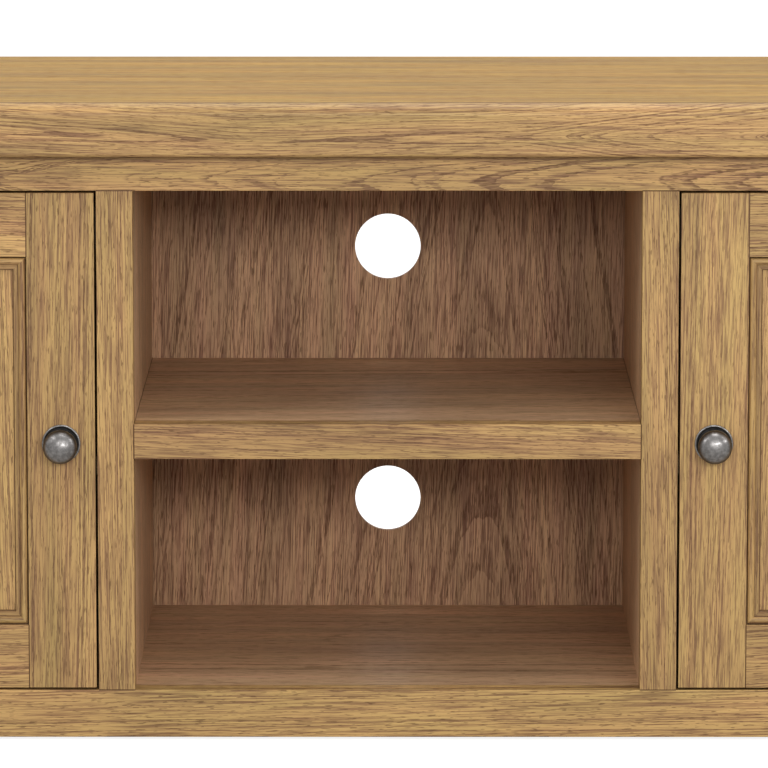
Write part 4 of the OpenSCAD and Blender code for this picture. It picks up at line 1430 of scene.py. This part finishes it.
FITTINGS = (
    "frame_hinge_leaves", "left_door_hinge_leaves", "right_door_hinge_leaves", "left_strike_plate",
    "right_strike_plate", "magnetic_catches", "hinge_pins", "shelf_pins", "floor_glides",
)


class CABINET_OT_fittings(bpy.types.Operator):
    """Makes the hinges, catches, plates, pins and glides, their round parts smooth"""

    bl_idname = "cabinet.fittings"
    bl_label = "Hinges and Fittings"

    def execute(self, context):
        for node in FITTINGS:
            piece = copy_of_node(node, "eased_" + node)
            deselect()
            smooth(piece, 30)
            finish = NODE_FINISH[node]
            finish_piece(piece, finish_of(finish), finish, body_of(node), node)
        return {"FINISHED"}


# Each light: where it is, where it is aimed, its width and height, and the setting of its power
LIGHTS = {
    "front_light": ((0.7, -4.7, 1.42), (0, 0, 0.30), (3.2, 0.6), "front_light"),
    "left_light": ((-2.0, -1.5, 2.1), (0, -0.2, 0.30), (0.9, 0.9), "side_light"),
    "right_light": ((2.4, -1.2, 1.7), (0, -0.2, 0.30), (0.9, 0.9), "side_light"),
    "high_light": ((0.2, 0.05, 2.6), (0, 0.02, 0.5), (2.8, 1.0), "high_light"),
}
EYE = Vector((0.004, -5.3425, 1.0595))
LOOK_AT = Vector((-0.003, -0.1925, 0.3088))
SENSOR_WIDTH = 36
CLIP = (0.1, 200)
FLOOR_SIZE = 60
FLOOR_CLOUD = (0.45, 0.45, 0.45, 1)
WHITE = (1, 1, 1, 1)


class CABINET_OT_stage(bpy.types.Operator):
    """Makes the floor, the lights and the camera"""

    bl_idname = "cabinet.stage"
    bl_label = "Stage"

    def execute(self, context):
        stage = context.scene.cabinet_stage
        deselect()
        bpy.ops.mesh.primitive_plane_add(size=FLOOR_SIZE, location=(0, 0, 0))
        floor = new_piece("studio_floor")
        material, w, shader = new_material("floor")
        place = w.node("ShaderNodeTexCoord").outputs["Object"]
        cloudy = w.times(w.noise(place, scale=1.5, detail=2.0).outputs["Fac"], 0.03)
        w.feed(shader.inputs["Base Color"], w.mix(cloudy, (*stage.floor, 1), FLOOR_CLOUD))
        shader.inputs["Roughness"].default_value = 0.8
        shader.inputs["Specular IOR Level"].default_value = 0.1
        shader.inputs["Emission Color"].default_value = WHITE
        seen = w.node("ShaderNodeLightPath").outputs["Is Camera Ray"]
        w.feed(shader.inputs["Emission Strength"], w.times(seen, stage.floor_glow))
        floor.data.materials.append(material)
        world = bpy.data.worlds.new("studio")
        context.scene.world = world
        world.use_nodes = True
        w = Wiring(world.node_tree)
        background = world.node_tree.nodes["Background"]
        background.inputs["Color"].default_value = WHITE
        seen = w.node("ShaderNodeLightPath").outputs["Is Camera Ray"]
        w.feed(background.inputs["Strength"], w.span(seen, 0.0, 1.0, stage.surround, stage.backdrop))
        for name, (place, aim, size, power) in LIGHTS.items():
            deselect()
            bpy.ops.object.light_add(type="AREA", location=place)
            light = bpy.context.active_object
            light.name = name
            light.data.shape = "RECTANGLE"
            light.data.size, light.data.size_y = size
            light.data.energy = getattr(stage, power)
            light.rotation_euler = (Vector(aim) - Vector(place)).to_track_quat("-Z", "Y").to_euler()
        deselect()
        bpy.ops.object.camera_add(location=EYE)
        camera = bpy.context.active_object
        camera.name = "camera"
        camera.rotation_euler = (LOOK_AT - EYE).to_track_quat("-Z", "Y").to_euler()
        camera.data.lens = stage.lens
        camera.data.sensor_width = SENSOR_WIDTH
        camera.data.clip_start, camera.data.clip_end = CLIP
        context.scene.camera = camera
        context.scene.view_settings.view_transform = "Standard"
        return {"FINISHED"}


class CABINET_PT_sidebar(bpy.types.Panel):
    """Lists the steps of making the cabinet"""

    bl_idname = "CABINET_PT_sidebar"
    bl_label = "Media Cabinet"
    bl_space_type = "VIEW_3D"
    bl_region_type = "UI"
    bl_category = "Cabinet"

    def draw(self, context):
        for group in GROUPS:
            settings = getattr(context.scene, group)
            box = self.layout.box()
            for name in type(settings).__annotations__:
                box.prop(settings, name)
        for step in STEPS:
            self.layout.operator(step.bl_idname)


GROUPS = {
    "cabinet_sizes": CabinetSizes,
    "cabinet_finish": CabinetFinish,
    "cabinet_stage": CabinetStage,
}
STEPS = (
    CABINET_OT_finishes,
    CABINET_OT_top,
    CABINET_OT_face_frame,
    CABINET_OT_end_frames,
    CABINET_OT_inside,
    CABINET_OT_back,
    CABINET_OT_doors,
    CABINET_OT_mouldings,
    CABINET_OT_knobs,
    CABINET_OT_screws,
    CABINET_OT_fittings,
    CABINET_OT_stage,
)


def register():
    for group in GROUPS.values():
        bpy.utils.register_class(group)
    for name, group in GROUPS.items():
        setattr(bpy.types.Scene, name, PointerProperty(type=group))
    for step in (*STEPS, CABINET_PT_sidebar):
        bpy.utils.register_class(step)


def unregister():
    for step in reversed((*STEPS, CABINET_PT_sidebar)):
        bpy.utils.unregister_class(step)
    for name in GROUPS:
        delattr(bpy.types.Scene, name)
    for group in reversed(list(GROUPS.values())):
        bpy.utils.unregister_class(group)


def main():
    """Makes the whole cabinet."""
    register()
    bpy.ops.cabinet.finishes()
    bpy.ops.cabinet.top()
    bpy.ops.cabinet.face_frame()
    bpy.ops.cabinet.end_frames()
    bpy.ops.cabinet.inside()
    bpy.ops.cabinet.back()
    bpy.ops.cabinet.doors()
    bpy.ops.cabinet.mouldings()
    bpy.ops.cabinet.knobs()
    bpy.ops.cabinet.screws()
    bpy.ops.cabinet.fittings()
    bpy.ops.cabinet.stage()
    deselect()


if __name__ == "__main__":
    main()
